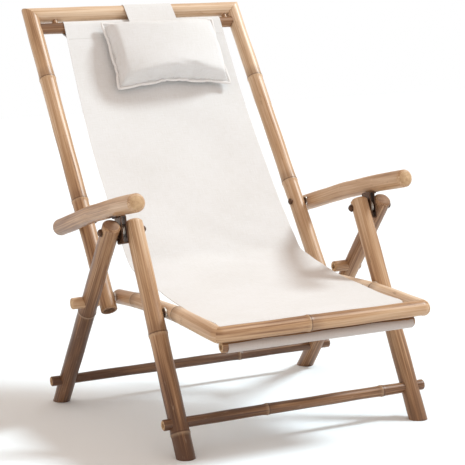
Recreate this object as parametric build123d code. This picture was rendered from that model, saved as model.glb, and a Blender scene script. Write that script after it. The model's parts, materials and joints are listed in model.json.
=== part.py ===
from build123d import *
import math
import os

# Bamboo deck chair: two hinged frames and two pairs of legs, folded by a parallelogram of pole links.
# Millimetres. X is across the chair, Y runs to its back, Z is up from the floor.
# Side view points are (y, z), with y measured from a line on the floor under the legs' middle.

# Pole diameters
FRONT_LEG_D = 34.0
REAR_LEG_D = 34.0
STILE_D = 33.0
TOP_RAIL_D = 32.0
ARMREST_D = 34.0
SEAT_RAIL_D = 29.0
FRONT_RAIL_D = 28.0
CROSS_RAIL_D = 20.0
BACK_ROD_D = 24.0
SEAT_ROD_D = 21.0
STOP_PEG_D = 22.0
SPACER_PEG_D = 12.0

# Distance of each pole's axis from the chair's middle plane
REAR_LEG_X = 285.0
ARMREST_X = 274.0
FRONT_LEG_X = 238.0
STILE_X = 238.0
SEAT_RAIL_X = 203.0

# The four pivots make a parallelogram: seat rail and armrest are one pair of links, leg and stile the other
SEAT_PIVOT_Y = -162.5
SEAT_PIVOT_Z = 241.0
SEAT_LINK = 265.2
SEAT_LINK_DROP = 1.46
UP_LINK = 167.2
UP_LINK_LEAN = 30.2

# Legs
FRONT_LEG_LEAN = 26.2
REAR_FOOT_Y = 275.7
FRONT_LEG_TOP = 16.0
REAR_LEG_TOP = 19.0
FRONT_CROSS_RAIL_Z = 57.0
REAR_CROSS_RAIL_Z = 54.0
CROSS_RAIL_PROUD = 12.0
REAR_RAIL_PROUD = 18.0
STOP_PEG_LEFT_Z = 238.0
STOP_PEG_RIGHT_Z = 253.0
STOP_PEG_PROUD = 20.0
STOP_PEG_INNER_REACH = 27.0
STOP_PEG_BORE = 18.0
CROSS_RAIL_BORE = 14.0

# Back frame, measured along the stile from the middle of its two pivots
STILE_LEAN = 34.1
STILE_BELOW = 115.0
STILE_ABOVE = 592.0
BACK_ROD_BELOW_RAIL = 35.0
BACK_ROD_TENON = 10.0
SPACER_PEG_LEFT_X = -188.0
SPACER_PEG_RIGHT_X = 213.0
STILE_BORE = 60.0

# Seat frame
SEAT_FRONT_REACH = 198.5
SEAT_REAR_REACH = 20.0
SEAT_AXIS_OVER_BACK_PIVOT = 1.5
SEAT_AXIS_UNDER_LEG_PIVOT = 2.2
SEAT_REAR_KINK = 85.0
SEAT_FRONT_KINK = 25.0
SEAT_REAR_DROP = 3.5
SEAT_FRONT_DROP = 3.4
SEAT_ROD_BEHIND_FRONT_RAIL = 15.0
SEAT_ROD_LEFT_X = -192.0
SEAT_ROD_RIGHT_X = 190.0
SEAT_ROD_BORE = 40.0

# Armrests, measured along the pole from the bolt that ties it to the stile
ARM_AXIS_UNDER_BOLT = 2.0
ARM_BEHIND_BOLT = 62.0
ARM_REAR_LENGTH = 152.0
ARM_MIDDLE_LENGTH = 135.0
ARM_FRONT_LENGTH = 103.0
ARM_REAR_RISE = 12.3
ARM_MIDDLE_RISE = 10.0
ARM_FRONT_RISE = 8.6

# Bamboo culm: raised ring at each node, lower on the bent poles, hollow at an open end
NODE_RISE = 1.3
BENT_NODE_RISE = 0.5
NODE_LEDGE = 0.9
NODE_HALF = 5.0
CULM_WALL = 5.5
END_EASE = 1.5
DOME_EASE = 4.0

# Places of the nodes, from a pole's lower end or from the middle of a pole across the chair
FRONT_LEG_NODES = {-1: (46.0, 230.0), 1: ()}
REAR_LEG_NODES = {-1: (297.0,), 1: ()}
STILE_NODES = {-1: (249.0, 544.0), 1: (251.0, 520.0)}
TOP_RAIL_NODES = ()
FRONT_RAIL_NODES = (-30.0,)
FRONT_CROSS_NODES = (-62.0, 177.0)
REAR_CROSS_NODES = (103.0,)

# Pivot hardware
BOLT_D = 8.0
BOLT_HEAD_D = 13.0
BOLT_HEAD_H = 5.0
BOLT_HEAD_SINK = 5.0
BOLT_BITE = 22.0
WASHER_D = 19.0
OUTER_WASHER_D = 15.0
OUTER_WASHER_T = 1.0
NUT_D = 12.0
NUT_H = 5.0
CORNER_DOWEL_D = 8.0
CORNER_DOWEL_L = 26.0

# Sheet metal bracket under each armrest, with the spring that turns on the leg bolt
BRACKET_T = 2.0
BRACKET_LENGTH = 30.0
BRACKET_BELOW_BOLT = 24.0
BRACKET_FLANGE = 9.0
BRACKET_CORNER = 3.0
ARM_FLAT = 2.0
BRACKET_SCREW_D = 4.0
BRACKET_SCREW_HEAD_D = 7.5
BRACKET_SCREW_HEAD_H = 2.4
BRACKET_SCREW_BITE = 16.0
BRACKET_SCREW_SPACING = 16.0
SPRING_WIRE_D = 2.0
SPRING_D = 26.0
SPRING_TURNS = 2

# Canvas sling, pillow and its strap
SLING_T = 1.6
SLING_LEFT_X = -181.0
SLING_RIGHT_X = 187.0
SLING_TOP_FALL = 60.5
SLING_LOW_FALL = 48.0
SLING_REAR_FALL = 13.0
SLING_FRONT_FALL = 1.5
SLING_BEND_R = 60.0
SLING_HEM_R = 30.0
SLING_HEM_DROP = 4.0
SLING_LAP = 55.0
PILLOW_X = 34.0
PILLOW_WIDTH = 266.0
PILLOW_HEIGHT = 171.0
PILLOW_SIDE_DRAW = 10.0
PILLOW_CROWN = 50.0
PILLOW_BACK_CROWN = 10.0
PILLOW_LEAN = 31.5
PILLOW_EDGE = 7.0
PILLOW_TOP_BELOW_RAIL = 43.0
STRAP_WIDTH = 112.0
STRAP_X = 28.0
STRAP_T = 1.6
STRAP_TAIL = 120.0

# Clearances
RUN_CLEARANCE = 0.08
SEAT_CLEARANCE = 0.05
SIDE_GAP = 0.3
BRACKET_GAP = 0.5
SOFT_GAP = 0.3

LEFT, RIGHT = -1, 1
SIDE_NAMES = {LEFT: "left", RIGHT: "right"}
X_AXIS = Vector(1, 0, 0)


def at(x, p):
    """Space point at distance x from the middle plane and side view point p."""
    return Vector(x, p[0], p[1])


def heading(angle):
    """Side view unit vector, angle in degrees from the +Y direction towards +Z."""
    return (math.cos(math.radians(angle)), math.sin(math.radians(angle)))


def lean(angle):
    """Side view unit vector of a pole that leans back by an angle from upright."""
    return heading(90 - angle)


def shift(p, direction, amount):
    return (p[0] + direction[0] * amount, p[1] + direction[1] * amount)


def along(p, q, direction):
    """Distance from p to q, measured along a side view direction."""
    return (q[0] - p[0]) * direction[0] + (q[1] - p[1]) * direction[1]


def middle(p, q):
    return ((p[0] + q[0]) / 2, (p[1] + q[1]) / 2)


# Pivots in side view
SEAT_PIVOT = (SEAT_PIVOT_Y, SEAT_PIVOT_Z)
LEG_PIVOT = shift(SEAT_PIVOT, lean(UP_LINK_LEAN), UP_LINK)
BACK_PIVOT = shift(SEAT_PIVOT, heading(-SEAT_LINK_DROP), SEAT_LINK)
ARM_PIVOT = shift(LEG_PIVOT, heading(-SEAT_LINK_DROP), SEAT_LINK)

# Pole axes in side view
STILE_UP = lean(STILE_LEAN)
STILE_FRONT = heading(180 - STILE_LEAN)
STILE_MID = middle(BACK_PIVOT, ARM_PIVOT)
STILE_FOOT = shift(STILE_MID, STILE_UP, -STILE_BELOW)
BACK_CORNER = shift(STILE_MID, STILE_UP, STILE_ABOVE)
BACK_ROD = shift(BACK_CORNER, STILE_UP, -BACK_ROD_BELOW_RAIL)

FRONT_LEG_UP = lean(FRONT_LEG_LEAN)
FRONT_LEG_MID = middle(LEG_PIVOT, SEAT_PIVOT)
FRONT_FOOT = shift(FRONT_LEG_MID, FRONT_LEG_UP, -FRONT_LEG_MID[1] / FRONT_LEG_UP[1])
FRONT_CROSS_RAIL = shift(FRONT_FOOT, FRONT_LEG_UP, FRONT_CROSS_RAIL_Z / FRONT_LEG_UP[1])

REAR_FOOT = (REAR_FOOT_Y, 0.0)
REAR_LEG_LENGTH = math.dist(REAR_FOOT, LEG_PIVOT)
REAR_LEG_UP = ((LEG_PIVOT[0] - REAR_FOOT_Y) / REAR_LEG_LENGTH, LEG_PIVOT[1] / REAR_LEG_LENGTH)
REAR_CROSS_RAIL = shift(REAR_FOOT, REAR_LEG_UP, REAR_CROSS_RAIL_Z / REAR_LEG_UP[1])
STOP_PEG = {
    -1: shift(REAR_FOOT, REAR_LEG_UP, STOP_PEG_LEFT_Z / REAR_LEG_UP[1]),
    1: shift(REAR_FOOT, REAR_LEG_UP, STOP_PEG_RIGHT_Z / REAR_LEG_UP[1]),
}

SEAT_LINE_BACK = shift(BACK_PIVOT, heading(90), SEAT_AXIS_OVER_BACK_PIVOT)
SEAT_LINE_FRONT = shift(SEAT_PIVOT, heading(90), -SEAT_AXIS_UNDER_LEG_PIVOT)
SEAT_LINE_RUN = SEAT_LINE_BACK[0] - SEAT_LINE_FRONT[0]
SEAT_RISE = math.degrees(math.atan2(SEAT_LINE_FRONT[1] - SEAT_LINE_BACK[1], SEAT_LINE_RUN))
SEAT_FORWARD = heading(180 - SEAT_RISE)
SEAT_KINK_REAR = shift(SEAT_LINE_BACK, SEAT_FORWARD, SEAT_REAR_KINK)
SEAT_KINK_FRONT = shift(SEAT_LINE_FRONT, SEAT_FORWARD, SEAT_FRONT_KINK)
SEAT_REAR_END = shift(SEAT_KINK_REAR, heading(-SEAT_REAR_DROP), SEAT_REAR_KINK + SEAT_REAR_REACH)
SEAT_NOSE = heading(180 + SEAT_FRONT_DROP)
SEAT_CORNER = shift(SEAT_KINK_FRONT, SEAT_NOSE, SEAT_FRONT_REACH - SEAT_FRONT_KINK)
SEAT_ROD_LIFT = (SEAT_RAIL_D + SEAT_ROD_D) / 2 + SOFT_GAP
SEAT_OVER_ROD = shift(SEAT_CORNER, SEAT_NOSE, -SEAT_ROD_BEHIND_FRONT_RAIL)
SEAT_ROD = shift(SEAT_OVER_ROD, heading(270 + SEAT_FRONT_DROP), SEAT_ROD_LIFT)

ARM_AXIS_BOLT = shift(ARM_PIVOT, heading(90), -ARM_AXIS_UNDER_BOLT)
ARM_REAR_END = shift(ARM_AXIS_BOLT, heading(-ARM_REAR_RISE), ARM_BEHIND_BOLT)
ARM_KINK_REAR = shift(ARM_AXIS_BOLT, heading(180 - ARM_REAR_RISE), ARM_REAR_LENGTH)
ARM_KINK_FRONT = shift(ARM_KINK_REAR, heading(180 - ARM_MIDDLE_RISE), ARM_MIDDLE_LENGTH)
ARM_FRONT_END = shift(ARM_KINK_FRONT, heading(180 - ARM_FRONT_RISE), ARM_FRONT_LENGTH)
# Height of the armrest's axis over the leg bolt, square to the pole
ARM_OVER_BOLT = along(LEG_PIVOT, ARM_KINK_REAR, heading(90 - ARM_MIDDLE_RISE))

# Lateral places of the hardware, from the middle plane outwards
SEAT_RAIL_IN = SEAT_RAIL_X - SEAT_RAIL_D / 2
SEAT_RAIL_OUT = SEAT_RAIL_X + SEAT_RAIL_D / 2
FRONT_LEG_IN = FRONT_LEG_X - FRONT_LEG_D / 2
FRONT_LEG_OUT = FRONT_LEG_X + FRONT_LEG_D / 2
STILE_IN = STILE_X - STILE_D / 2
STILE_OUT = STILE_X + STILE_D / 2
ARMREST_IN = ARMREST_X - ARMREST_D / 2
REAR_LEG_IN = REAR_LEG_X - REAR_LEG_D / 2
REAR_LEG_OUT = REAR_LEG_X + REAR_LEG_D / 2
BRACKET_IN = FRONT_LEG_OUT + BRACKET_GAP
BRACKET_OUT = REAR_LEG_IN - BRACKET_GAP
BRACKET_MID = (BRACKET_IN + BRACKET_OUT) / 2
BRACKET_SCREW_X = BRACKET_OUT + BRACKET_FLANGE / 2


def node_ring(s, r):
    """Outline of one node on a culm: a ramp, a sharp ledge where the sheath grew, and a softer ramp."""
    ledge = [(r + NODE_RISE, s - NODE_LEDGE / 2), (r + NODE_RISE / 3, s + NODE_LEDGE / 2)]
    return [(r, s - NODE_HALF)] + ledge + [(r, s + NODE_HALF)]


def turned(outline):
    """Solid turned about Z from an (r, z) outline that starts and ends on the axis."""
    corners = [p for p, q in zip(outline, outline[1:] + outline[:1]) if math.dist(p, q) > 1e-6]
    return revolve(Plane.XZ * make_face(Polyline(*corners, close=True)), Axis.Z)


def culm(start, end, d, nodes=(), bores=(0.0, 0.0), eases=(END_EASE, END_EASE)):
    """Straight bamboo pole with node rings at distances from its start, eased or open at its two ends."""
    length = (end - start).length
    r = d / 2
    outline = [(0, bores[0])]
    if bores[0]:
        outline += [(r - CULM_WALL, bores[0]), (r - CULM_WALL, 0)]
    outline += [(r - eases[0], 0), (r, eases[0])]
    for s in nodes:
        outline += node_ring(s, r)
    outline += [(r, length - eases[1]), (r - eases[1], length)]
    if bores[1]:
        outline += [(r - CULM_WALL, length), (r - CULM_WALL, length - bores[1])]
    outline += [(0, length - bores[1])]
    return Plane(origin=start, z_dir=end - start) * turned(outline)


def bisector(before, p, after):
    """Plane through a kink of a pole, square to the middle of its two directions."""
    return Plane(origin=p, z_dir=(p - before).normalized() + (after - p).normalized())


def bent_culm(points, d, eases):
    """Pole that bends a little at its nodes: straight internodes that meet in a ring at each kink."""
    r = d / 2
    crest = r + BENT_NODE_RISE
    last = len(points) - 2
    pole = None
    for i, (p, q) in enumerate(zip(points, points[1:])):
        length = (q - p).length
        if i == 0:
            outline = [(0, 0), (r - eases[0], 0), (r, eases[0])]
        else:
            outline = [(0, -NODE_HALF), (crest, -NODE_HALF), (crest, NODE_LEDGE), (r, NODE_HALF)]
        if i == last:
            outline += [(r, length - eases[1]), (r - eases[1], length), (0, length)]
        else:
            outline += [(r, length - NODE_HALF), (crest, length - NODE_LEDGE)]
            outline += [(crest, length + NODE_HALF), (0, length + NODE_HALF)]
        span = Plane(origin=p, z_dir=q - p) * turned(outline)
        if i > 0:
            span = split(span, bisect_by=bisector(points[i - 1], p, q), keep=Keep.TOP)
        if i < last:
            span = split(span, bisect_by=bisector(p, q, points[i + 2]), keep=Keep.BOTTOM)
        pole = span if pole is None else pole + span
    return pole


def cross_pin(x_from, x_to, p, d):
    """Round bar or drill across the chair between two distances from the middle plane."""
    return Pos((x_from + x_to) / 2, p[0], p[1]) * Rot(0, 90, 0) * Cylinder(d / 2, abs(x_to - x_from))


def washer(x_from, x_to, p, d=WASHER_D):
    return cross_pin(x_from, x_to, p, d) - cross_pin(x_from, x_to, p, BOLT_D + 2 * SEAT_CLEARANCE)


def bolt(x_head, x_tip, p, head_h=BOLT_HEAD_H):
    """Bolt with a low domed head. x_head is the face under the head and x_tip the end of the shank."""
    crown = BOLT_HEAD_D / 4
    shank = abs(x_tip - x_head)
    rim = BOLT_HEAD_D / 2
    outline = [(0, -head_h), (crown, -head_h), (rim, -head_h / 2), (rim, 0)]
    outline += [(BOLT_D / 2, 0), (BOLT_D / 2, shank), (0, shank)]
    way = 1 if x_tip > x_head else -1
    return Plane(origin=at(x_head, p), z_dir=X_AXIS * way) * turned(outline)


def cap_nut(x_face, p, way):
    """Domed nut that sits on x_face and points away from it, with a blind bore for the bolt's end."""
    bore = BOLT_D / 2 + SEAT_CLEARANCE
    outline = [(0, NUT_H * 0.6), (bore, NUT_H * 0.6), (bore, 0), (NUT_D / 2, 0), (NUT_D / 2, NUT_H * 0.5)]
    outline += [(NUT_D / 4, NUT_H), (0, NUT_H)]
    return Plane(origin=at(x_face, p), z_dir=X_AXIS * way) * turned(outline)


def mitre(corner, outward_a, outward_b):
    """Plane of a mitred corner: a pole that ends along outward_a lies on its lower side."""
    return Plane(origin=corner, z_dir=outward_a - outward_b)


def dowel_across(plane):
    return plane * Cylinder(CORNER_DOWEL_D / 2, CORNER_DOWEL_L)


def dowel_hole(plane):
    return plane * Cylinder(CORNER_DOWEL_D / 2 + SEAT_CLEARANCE, CORNER_DOWEL_L + 2 * SEAT_CLEARANCE)


def back_mitre(side):
    up = at(0, STILE_UP)
    return mitre(at(side * STILE_X, BACK_CORNER), up, X_AXIS * side)


def seat_mitre(side):
    nose = at(0, SEAT_NOSE)
    return mitre(at(side * SEAT_RAIL_X, SEAT_CORNER), nose, X_AXIS * side)


def front_leg(side):
    """Front leg, cut level at the floor, with the cross rail's mortise and the two bolt holes."""
    x = side * FRONT_LEG_X
    start = at(x, shift(FRONT_FOOT, FRONT_LEG_UP, -FRONT_LEG_D))
    top = along(FRONT_FOOT, LEG_PIVOT, FRONT_LEG_UP) + FRONT_LEG_TOP
    end = at(x, shift(FRONT_FOOT, FRONT_LEG_UP, top))
    nodes = [FRONT_LEG_D + s for s in FRONT_LEG_NODES[side]]
    leg = culm(start, end, FRONT_LEG_D, nodes, eases=(0.0, DOME_EASE))
    leg = split(leg, bisect_by=Plane.XY, keep=Keep.TOP)
    reach = FRONT_LEG_OUT + FRONT_LEG_D
    leg -= cross_pin(side * SEAT_RAIL_X, side * reach, FRONT_CROSS_RAIL, CROSS_RAIL_D + 2 * SEAT_CLEARANCE)
    leg -= cross_pin(side * SEAT_RAIL_X, side * reach, LEG_PIVOT, BOLT_D + 2 * SEAT_CLEARANCE)
    bite = FRONT_LEG_IN + BOLT_BITE + SIDE_GAP
    return leg - cross_pin(side * SEAT_RAIL_X, side * bite, SEAT_PIVOT, BOLT_D + 2 * SEAT_CLEARANCE)


def rear_leg(side):
    """Rear leg, cut level at the floor, with mortises for the cross rail and the stop peg."""
    x = side * REAR_LEG_X
    start = at(x, shift(REAR_FOOT, REAR_LEG_UP, -REAR_LEG_D))
    end = at(x, shift(LEG_PIVOT, REAR_LEG_UP, REAR_LEG_TOP))
    nodes = [REAR_LEG_D + s for s in REAR_LEG_NODES[side]]
    leg = culm(start, end, REAR_LEG_D, nodes, eases=(0.0, DOME_EASE))
    leg = split(leg, bisect_by=Plane.XY, keep=Keep.TOP)
    inner = side * (REAR_LEG_IN - REAR_LEG_D)
    outer = side * (REAR_LEG_OUT + REAR_LEG_D)
    leg -= cross_pin(inner, outer, REAR_CROSS_RAIL, CROSS_RAIL_D + 2 * SEAT_CLEARANCE)
    leg -= cross_pin(inner, outer, STOP_PEG[side], STOP_PEG_D + 2 * SEAT_CLEARANCE)
    return leg - cross_pin(inner, outer, LEG_PIVOT, BOLT_D + 2 * RUN_CLEARANCE)


def cross_rail(p, half, places):
    """Slim pole right through both legs, with its ends proud."""
    nodes = [half + x for x in places]
    return culm(at(-half, p), at(half, p), CROSS_RAIL_D, nodes, (CROSS_RAIL_BORE, CROSS_RAIL_BORE))


def stop_peg(side):
    """Peg through the rear leg: the left one stands out at the outside, the right one at the inside."""
    if side == LEFT:
        inner, outer = REAR_LEG_IN, REAR_LEG_OUT + STOP_PEG_PROUD
    else:
        inner, outer = REAR_LEG_IN - STOP_PEG_INNER_REACH, REAR_LEG_OUT
    ends = at(side * inner, STOP_PEG[side]), at(side * outer, STOP_PEG[side])
    return culm(*ends, STOP_PEG_D, bores=(STOP_PEG_BORE, 0.0))


def seat_rail(side):
    """Side rail of the seat, a little arched, mitred at its front and bored for two sunk bolts."""
    x = side * SEAT_RAIL_X
    nose = shift(SEAT_CORNER, SEAT_NOSE, SEAT_RAIL_D)
    points = [at(x, p) for p in (SEAT_REAR_END, SEAT_KINK_REAR, SEAT_KINK_FRONT, nose)]
    rail = bent_culm(points, SEAT_RAIL_D, (DOME_EASE, 0.0))
    rail = split(rail, bisect_by=seat_mitre(side), keep=Keep.BOTTOM)
    rail -= dowel_hole(seat_mitre(side))
    for pivot in (SEAT_PIVOT, BACK_PIVOT):
        hole = BOLT_D + 2 * RUN_CLEARANCE
        rail -= cross_pin(side * (SEAT_RAIL_IN - BOLT_D), side * (SEAT_RAIL_OUT + BOLT_D), pivot, hole)
        sink = SEAT_RAIL_IN + BOLT_HEAD_SINK + SIDE_GAP
        rail -= cross_pin(side * (SEAT_RAIL_IN - BOLT_D), side * sink, pivot, BOLT_HEAD_D + 2 * RUN_CLEARANCE)
    return rail


def front_rail():
    """Front rail of the seat, mitred into both side rails."""
    half = SEAT_RAIL_X + FRONT_RAIL_D
    nodes = [half + x for x in FRONT_RAIL_NODES]
    rail = culm(at(-half, SEAT_CORNER), at(half, SEAT_CORNER), FRONT_RAIL_D, nodes)
    for side in (LEFT, RIGHT):
        rail = split(rail, bisect_by=seat_mitre(side), keep=Keep.TOP)
        rail -= dowel_hole(seat_mitre(side))
    return rail


def canvas_rod(x_from, x_to, p, d, bore=0.0):
    return culm(at(x_from, p), at(x_to, p), d, bores=(bore, bore))


def back_stile(side):
    """Side pole of the back: open at its lower end, mitred at the top, with mortises for the rod."""
    x = side * STILE_X
    end = shift(BACK_CORNER, STILE_UP, STILE_D)
    stile = culm(at(x, STILE_FOOT), at(x, end), STILE_D, STILE_NODES[side], (STILE_BORE, 0.0))
    stile = split(stile, bisect_by=back_mitre(side), keep=Keep.BOTTOM)
    stile -= dowel_hole(back_mitre(side))
    rod_end = STILE_IN + BACK_ROD_TENON + SEAT_CLEARANCE
    stile -= cross_pin(side * SEAT_RAIL_X, side * rod_end, BACK_ROD, BACK_ROD_D + 2 * SEAT_CLEARANCE)
    bite = STILE_IN + BOLT_BITE + SIDE_GAP
    stile -= cross_pin(side * SEAT_RAIL_X, side * bite, BACK_PIVOT, BOLT_D + 2 * SEAT_CLEARANCE)
    return stile - cross_pin(side * SEAT_RAIL_X, side * ARMREST_X, ARM_PIVOT, BOLT_D + 2 * RUN_CLEARANCE)


def top_rail():
    """Top rail of the back, mitred into both stiles."""
    half = STILE_X + TOP_RAIL_D
    nodes = [half + x for x in TOP_RAIL_NODES]
    rail = culm(at(-half, BACK_CORNER), at(half, BACK_CORNER), TOP_RAIL_D, nodes)
    for side in (LEFT, RIGHT):
        rail = split(rail, bisect_by=back_mitre(side), keep=Keep.TOP)
        rail -= dowel_hole(back_mitre(side))
    return rail


def spacer_peg(x):
    """Short peg between top rail and canvas rod, coped to both."""
    peg = culm(at(x, BACK_ROD), at(x, BACK_CORNER), SPACER_PEG_D)
    reach = STILE_X
    peg -= cross_pin(-reach, reach, BACK_CORNER, TOP_RAIL_D + 2 * SEAT_CLEARANCE)
    return peg - cross_pin(-reach, reach, BACK_ROD, BACK_ROD_D + 2 * SEAT_CLEARANCE)


def in_bracket_frame(shape):
    """Place a shape drawn about the leg bolt, with Y along the armrest and Z square to it."""
    return Pos(0, LEG_PIVOT[0], LEG_PIVOT[1]) * Rot(-ARM_MIDDLE_RISE, 0, 0) * shape


ARM_FLAT_Z = ARM_OVER_BOLT - ARMREST_D / 2 + ARM_FLAT
BRACKET_SCREW_TOP = ARM_FLAT_Z - BRACKET_T


def bracket_screw_places():
    return [-BRACKET_SCREW_SPACING / 2, BRACKET_SCREW_SPACING / 2]


def armrest(side):
    """Arched armrest pole with a flat under it for the bracket and the hole for its stile bolt."""
    x = side * ARMREST_X
    points = [at(x, p) for p in (ARM_REAR_END, ARM_KINK_REAR, ARM_KINK_FRONT, ARM_FRONT_END)]
    pole = bent_culm(points, ARMREST_D, (DOME_EASE, DOME_EASE))
    under = (Align.CENTER, Align.CENTER, Align.MAX)
    seat = Box(2 * ARMREST_D, BRACKET_LENGTH + 2 * SIDE_GAP, ARMREST_D, align=under)
    pole -= in_bracket_frame(Pos(x, 0, ARM_FLAT_Z) * seat)
    pole -= cross_pin(side * STILE_X, side * (ARMREST_X + SIDE_GAP), ARM_PIVOT, BOLT_D + 2 * SEAT_CLEARANCE)
    for y in bracket_screw_places():
        depth = BRACKET_SCREW_BITE + BRACKET_T + SIDE_GAP
        hole = Cylinder(BRACKET_SCREW_D / 2 + SEAT_CLEARANCE, 2 * depth)
        pole -= in_bracket_frame(Pos(side * BRACKET_SCREW_X, y, BRACKET_SCREW_TOP) * hole)
    return pole


def bracket(side):
    """Hoop of bent sheet between the two legs, screwed under the armrest by its top web."""
    width = BRACKET_OUT - BRACKET_IN
    height = ARM_FLAT_Z + BRACKET_BELOW_BOLT
    centre_z = (ARM_FLAT_Z - BRACKET_BELOW_BOLT) / 2
    hoop = RectangleRounded(width, height, BRACKET_CORNER)
    hoop -= RectangleRounded(width - 2 * BRACKET_T, height - 2 * BRACKET_T, BRACKET_CORNER - BRACKET_T)
    hoop = Pos(BRACKET_MID, centre_z) * hoop
    web = Rectangle(width / 2 + BRACKET_FLANGE, BRACKET_T, align=(Align.MIN, Align.MAX))
    profile = hoop + Pos(BRACKET_MID, ARM_FLAT_Z) * web
    body = extrude(Plane.XZ * profile, BRACKET_LENGTH / 2, both=True)
    hole = BOLT_D / 2 + RUN_CLEARANCE
    body -= Pos(BRACKET_IN, 0, 0) * Rot(0, 90, 0) * Cylinder(hole, 4 * width)
    for y in bracket_screw_places():
        drill = Cylinder(BRACKET_SCREW_D / 2 + SEAT_CLEARANCE, 4 * BRACKET_T)
        body -= Pos(BRACKET_SCREW_X, y, ARM_FLAT_Z) * drill
    if side == LEFT:
        body = mirror(body, about=Plane.YZ)
    return in_bracket_frame(body)


def bracket_screws(side):
    """The two round headed screws that hold a bracket's web up against the armrest."""
    r, head_r = BRACKET_SCREW_D / 2, BRACKET_SCREW_HEAD_D / 2
    tip = BRACKET_T + BRACKET_SCREW_BITE
    outline = [(0, -BRACKET_SCREW_HEAD_H), (head_r / 2, -BRACKET_SCREW_HEAD_H), (head_r, 0), (r, 0)]
    outline += [(r, tip - 2 * r), (0, tip)]
    places = [Pos(side * BRACKET_SCREW_X, y, BRACKET_SCREW_TOP) for y in bracket_screw_places()]
    return [in_bracket_frame(place * turned(outline)) for place in places]


def biarc(p, tangent_p, q, tangent_q):
    """Two arcs that leave p and reach q along given unit tangents."""
    chord = q - p
    both = tangent_p + tangent_q
    c = 2 * (1 - tangent_p.dot(tangent_q))
    reach = (-chord.dot(both) + math.sqrt(chord.dot(both) ** 2 + c * chord.dot(chord))) / c
    a = p + tangent_p * reach
    b = q - tangent_q * reach
    join = (a + b) / 2
    return [TangentArc(p, join, tangent=tangent_p), TangentArc(join, q, tangent=(b - a).normalized())]


def pivot_spring(side):
    """Coil of spring wire round the leg bolt, between the cheeks of the bracket."""
    coil_r = (SPRING_D - SPRING_WIRE_D) / 2
    room = BRACKET_OUT - BRACKET_IN - 2 * BRACKET_T - 2 * SIDE_GAP - SPRING_WIRE_D
    pitch = room / SPRING_TURNS
    first = BRACKET_IN + BRACKET_T + SIDE_GAP + SPRING_WIRE_D / 2
    climb = pitch / (2 * math.pi * coil_r)

    def place(turn):
        a = 2 * math.pi * turn
        point = Vector(first + pitch * turn, coil_r * math.cos(a), coil_r * math.sin(a))
        return point, Vector(climb, -math.sin(a), math.cos(a)).normalized()

    stations = [place(i / 2) for i in range(2 * SPRING_TURNS + 1)]
    edges = []
    for (p, tp), (q, tq) in zip(stations, stations[1:]):
        edges += biarc(p, tp, q, tq)
    start, tangent = stations[0]
    wire = sweep(Plane(origin=start, z_dir=tangent) * Circle(SPRING_WIRE_D / 2), path=Wire(edges))
    print(f"spring: {pitch - SPRING_WIRE_D:.2f} mm between its turns")
    coil = Pos(0, LEG_PIVOT[0], LEG_PIVOT[1]) * wire
    return coil if side == RIGHT else mirror(coil, about=Plane.YZ)


def band(start, angle, moves, thickness):
    """Side view strip of cloth about a centre line of straight runs and (radius, turn) arcs."""

    def edges(offset):
        point, way = shift(start, heading(angle + 90), offset), angle
        found = []
        for move in moves:
            if isinstance(move, tuple):
                radius, turn = move
                edge = JernArc(point, heading(way), radius - math.copysign(offset, turn * offset), turn)
                way += turn
                stop = edge @ 1
                end = (stop.X, stop.Y)
            else:
                end = shift(point, heading(way), move)
                edge = Line(point, end)
            found.append(edge)
            point = end
        return found, point

    left, left_end = edges(thickness / 2)
    right, right_end = edges(-thickness / 2)
    caps = [Line(left[0] @ 0, right[0] @ 0), Line(left_end, right_end)]
    return make_face(left + right + caps)


def cloth(profile, x_from, x_to):
    """Cloth solid with one side view profile over a width."""
    return Pos(x_from, 0, 0) * extrude(Plane.YZ * profile, x_to - x_from)


def sleeve(p, radius):
    """Hem sewn round a rod."""
    return Pos(*p) * (Circle(radius + SLING_T / 2) - Circle(radius - SLING_T / 2))


BACK_SLEEVE_R = BACK_ROD_D / 2 + SOFT_GAP + SLING_T / 2
SEAT_SLEEVE_R = SEAT_ROD_D / 2 + SOFT_GAP + SLING_T / 2


def arc_way(fall_from, fall_to):
    """Mean side view step, per length, of cloth that runs to the front and eases between two falls."""
    turn = math.radians(fall_from - fall_to)
    h, k = math.radians(180 + fall_from), math.radians(180 + fall_to)
    return ((math.sin(h) - math.sin(k)) / turn, (math.cos(k) - math.cos(h)) / turn)


def solve(a, b, total):
    """Lengths m and n for which m times a and n times b add up to a side view vector."""
    det = a[0] * b[1] - a[1] * b[0]
    return (total[0] * b[1] - total[1] * b[0]) / det, (a[0] * total[1] - a[1] * total[0]) / det


# The sling is four arcs in side view: the slack back, the bend, the slack seat and the turn over the hem
SLING_TOP = shift(BACK_ROD, heading(90 + SLING_TOP_FALL), BACK_SLEEVE_R)
SLING_FRONT = (SEAT_ROD[0] + SEAT_SLEEVE_R, SEAT_ROD[1] + SLING_HEM_DROP)
BACK_TURN = SLING_TOP_FALL - SLING_LOW_FALL
BEND_TURN = SLING_LOW_FALL - SLING_REAR_FALL
SEAT_TURN = SLING_REAR_FALL - SLING_FRONT_FALL
HEM_TURN = 90 - SLING_FRONT_FALL
BEND_LENGTH = SLING_BEND_R * math.radians(BEND_TURN)
HEM_LENGTH = SLING_HEM_R * math.radians(HEM_TURN)
SLING_FIXED = shift(SLING_TOP, arc_way(SLING_LOW_FALL, SLING_REAR_FALL), BEND_LENGTH)
SLING_FIXED = shift(SLING_FIXED, arc_way(SLING_FRONT_FALL, 90), HEM_LENGTH)
SLING_FREE = (SLING_FRONT[0] - SLING_FIXED[0], SLING_FRONT[1] - SLING_FIXED[1])
BACK_WAY = arc_way(SLING_TOP_FALL, SLING_LOW_FALL)
SEAT_WAY = arc_way(SLING_REAR_FALL, SLING_FRONT_FALL)
BACK_LENGTH, SEAT_LENGTH = solve(BACK_WAY, SEAT_WAY, SLING_FREE)
BACK_R = BACK_LENGTH / math.radians(BACK_TURN)
SEAT_R = SEAT_LENGTH / math.radians(SEAT_TURN)
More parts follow.
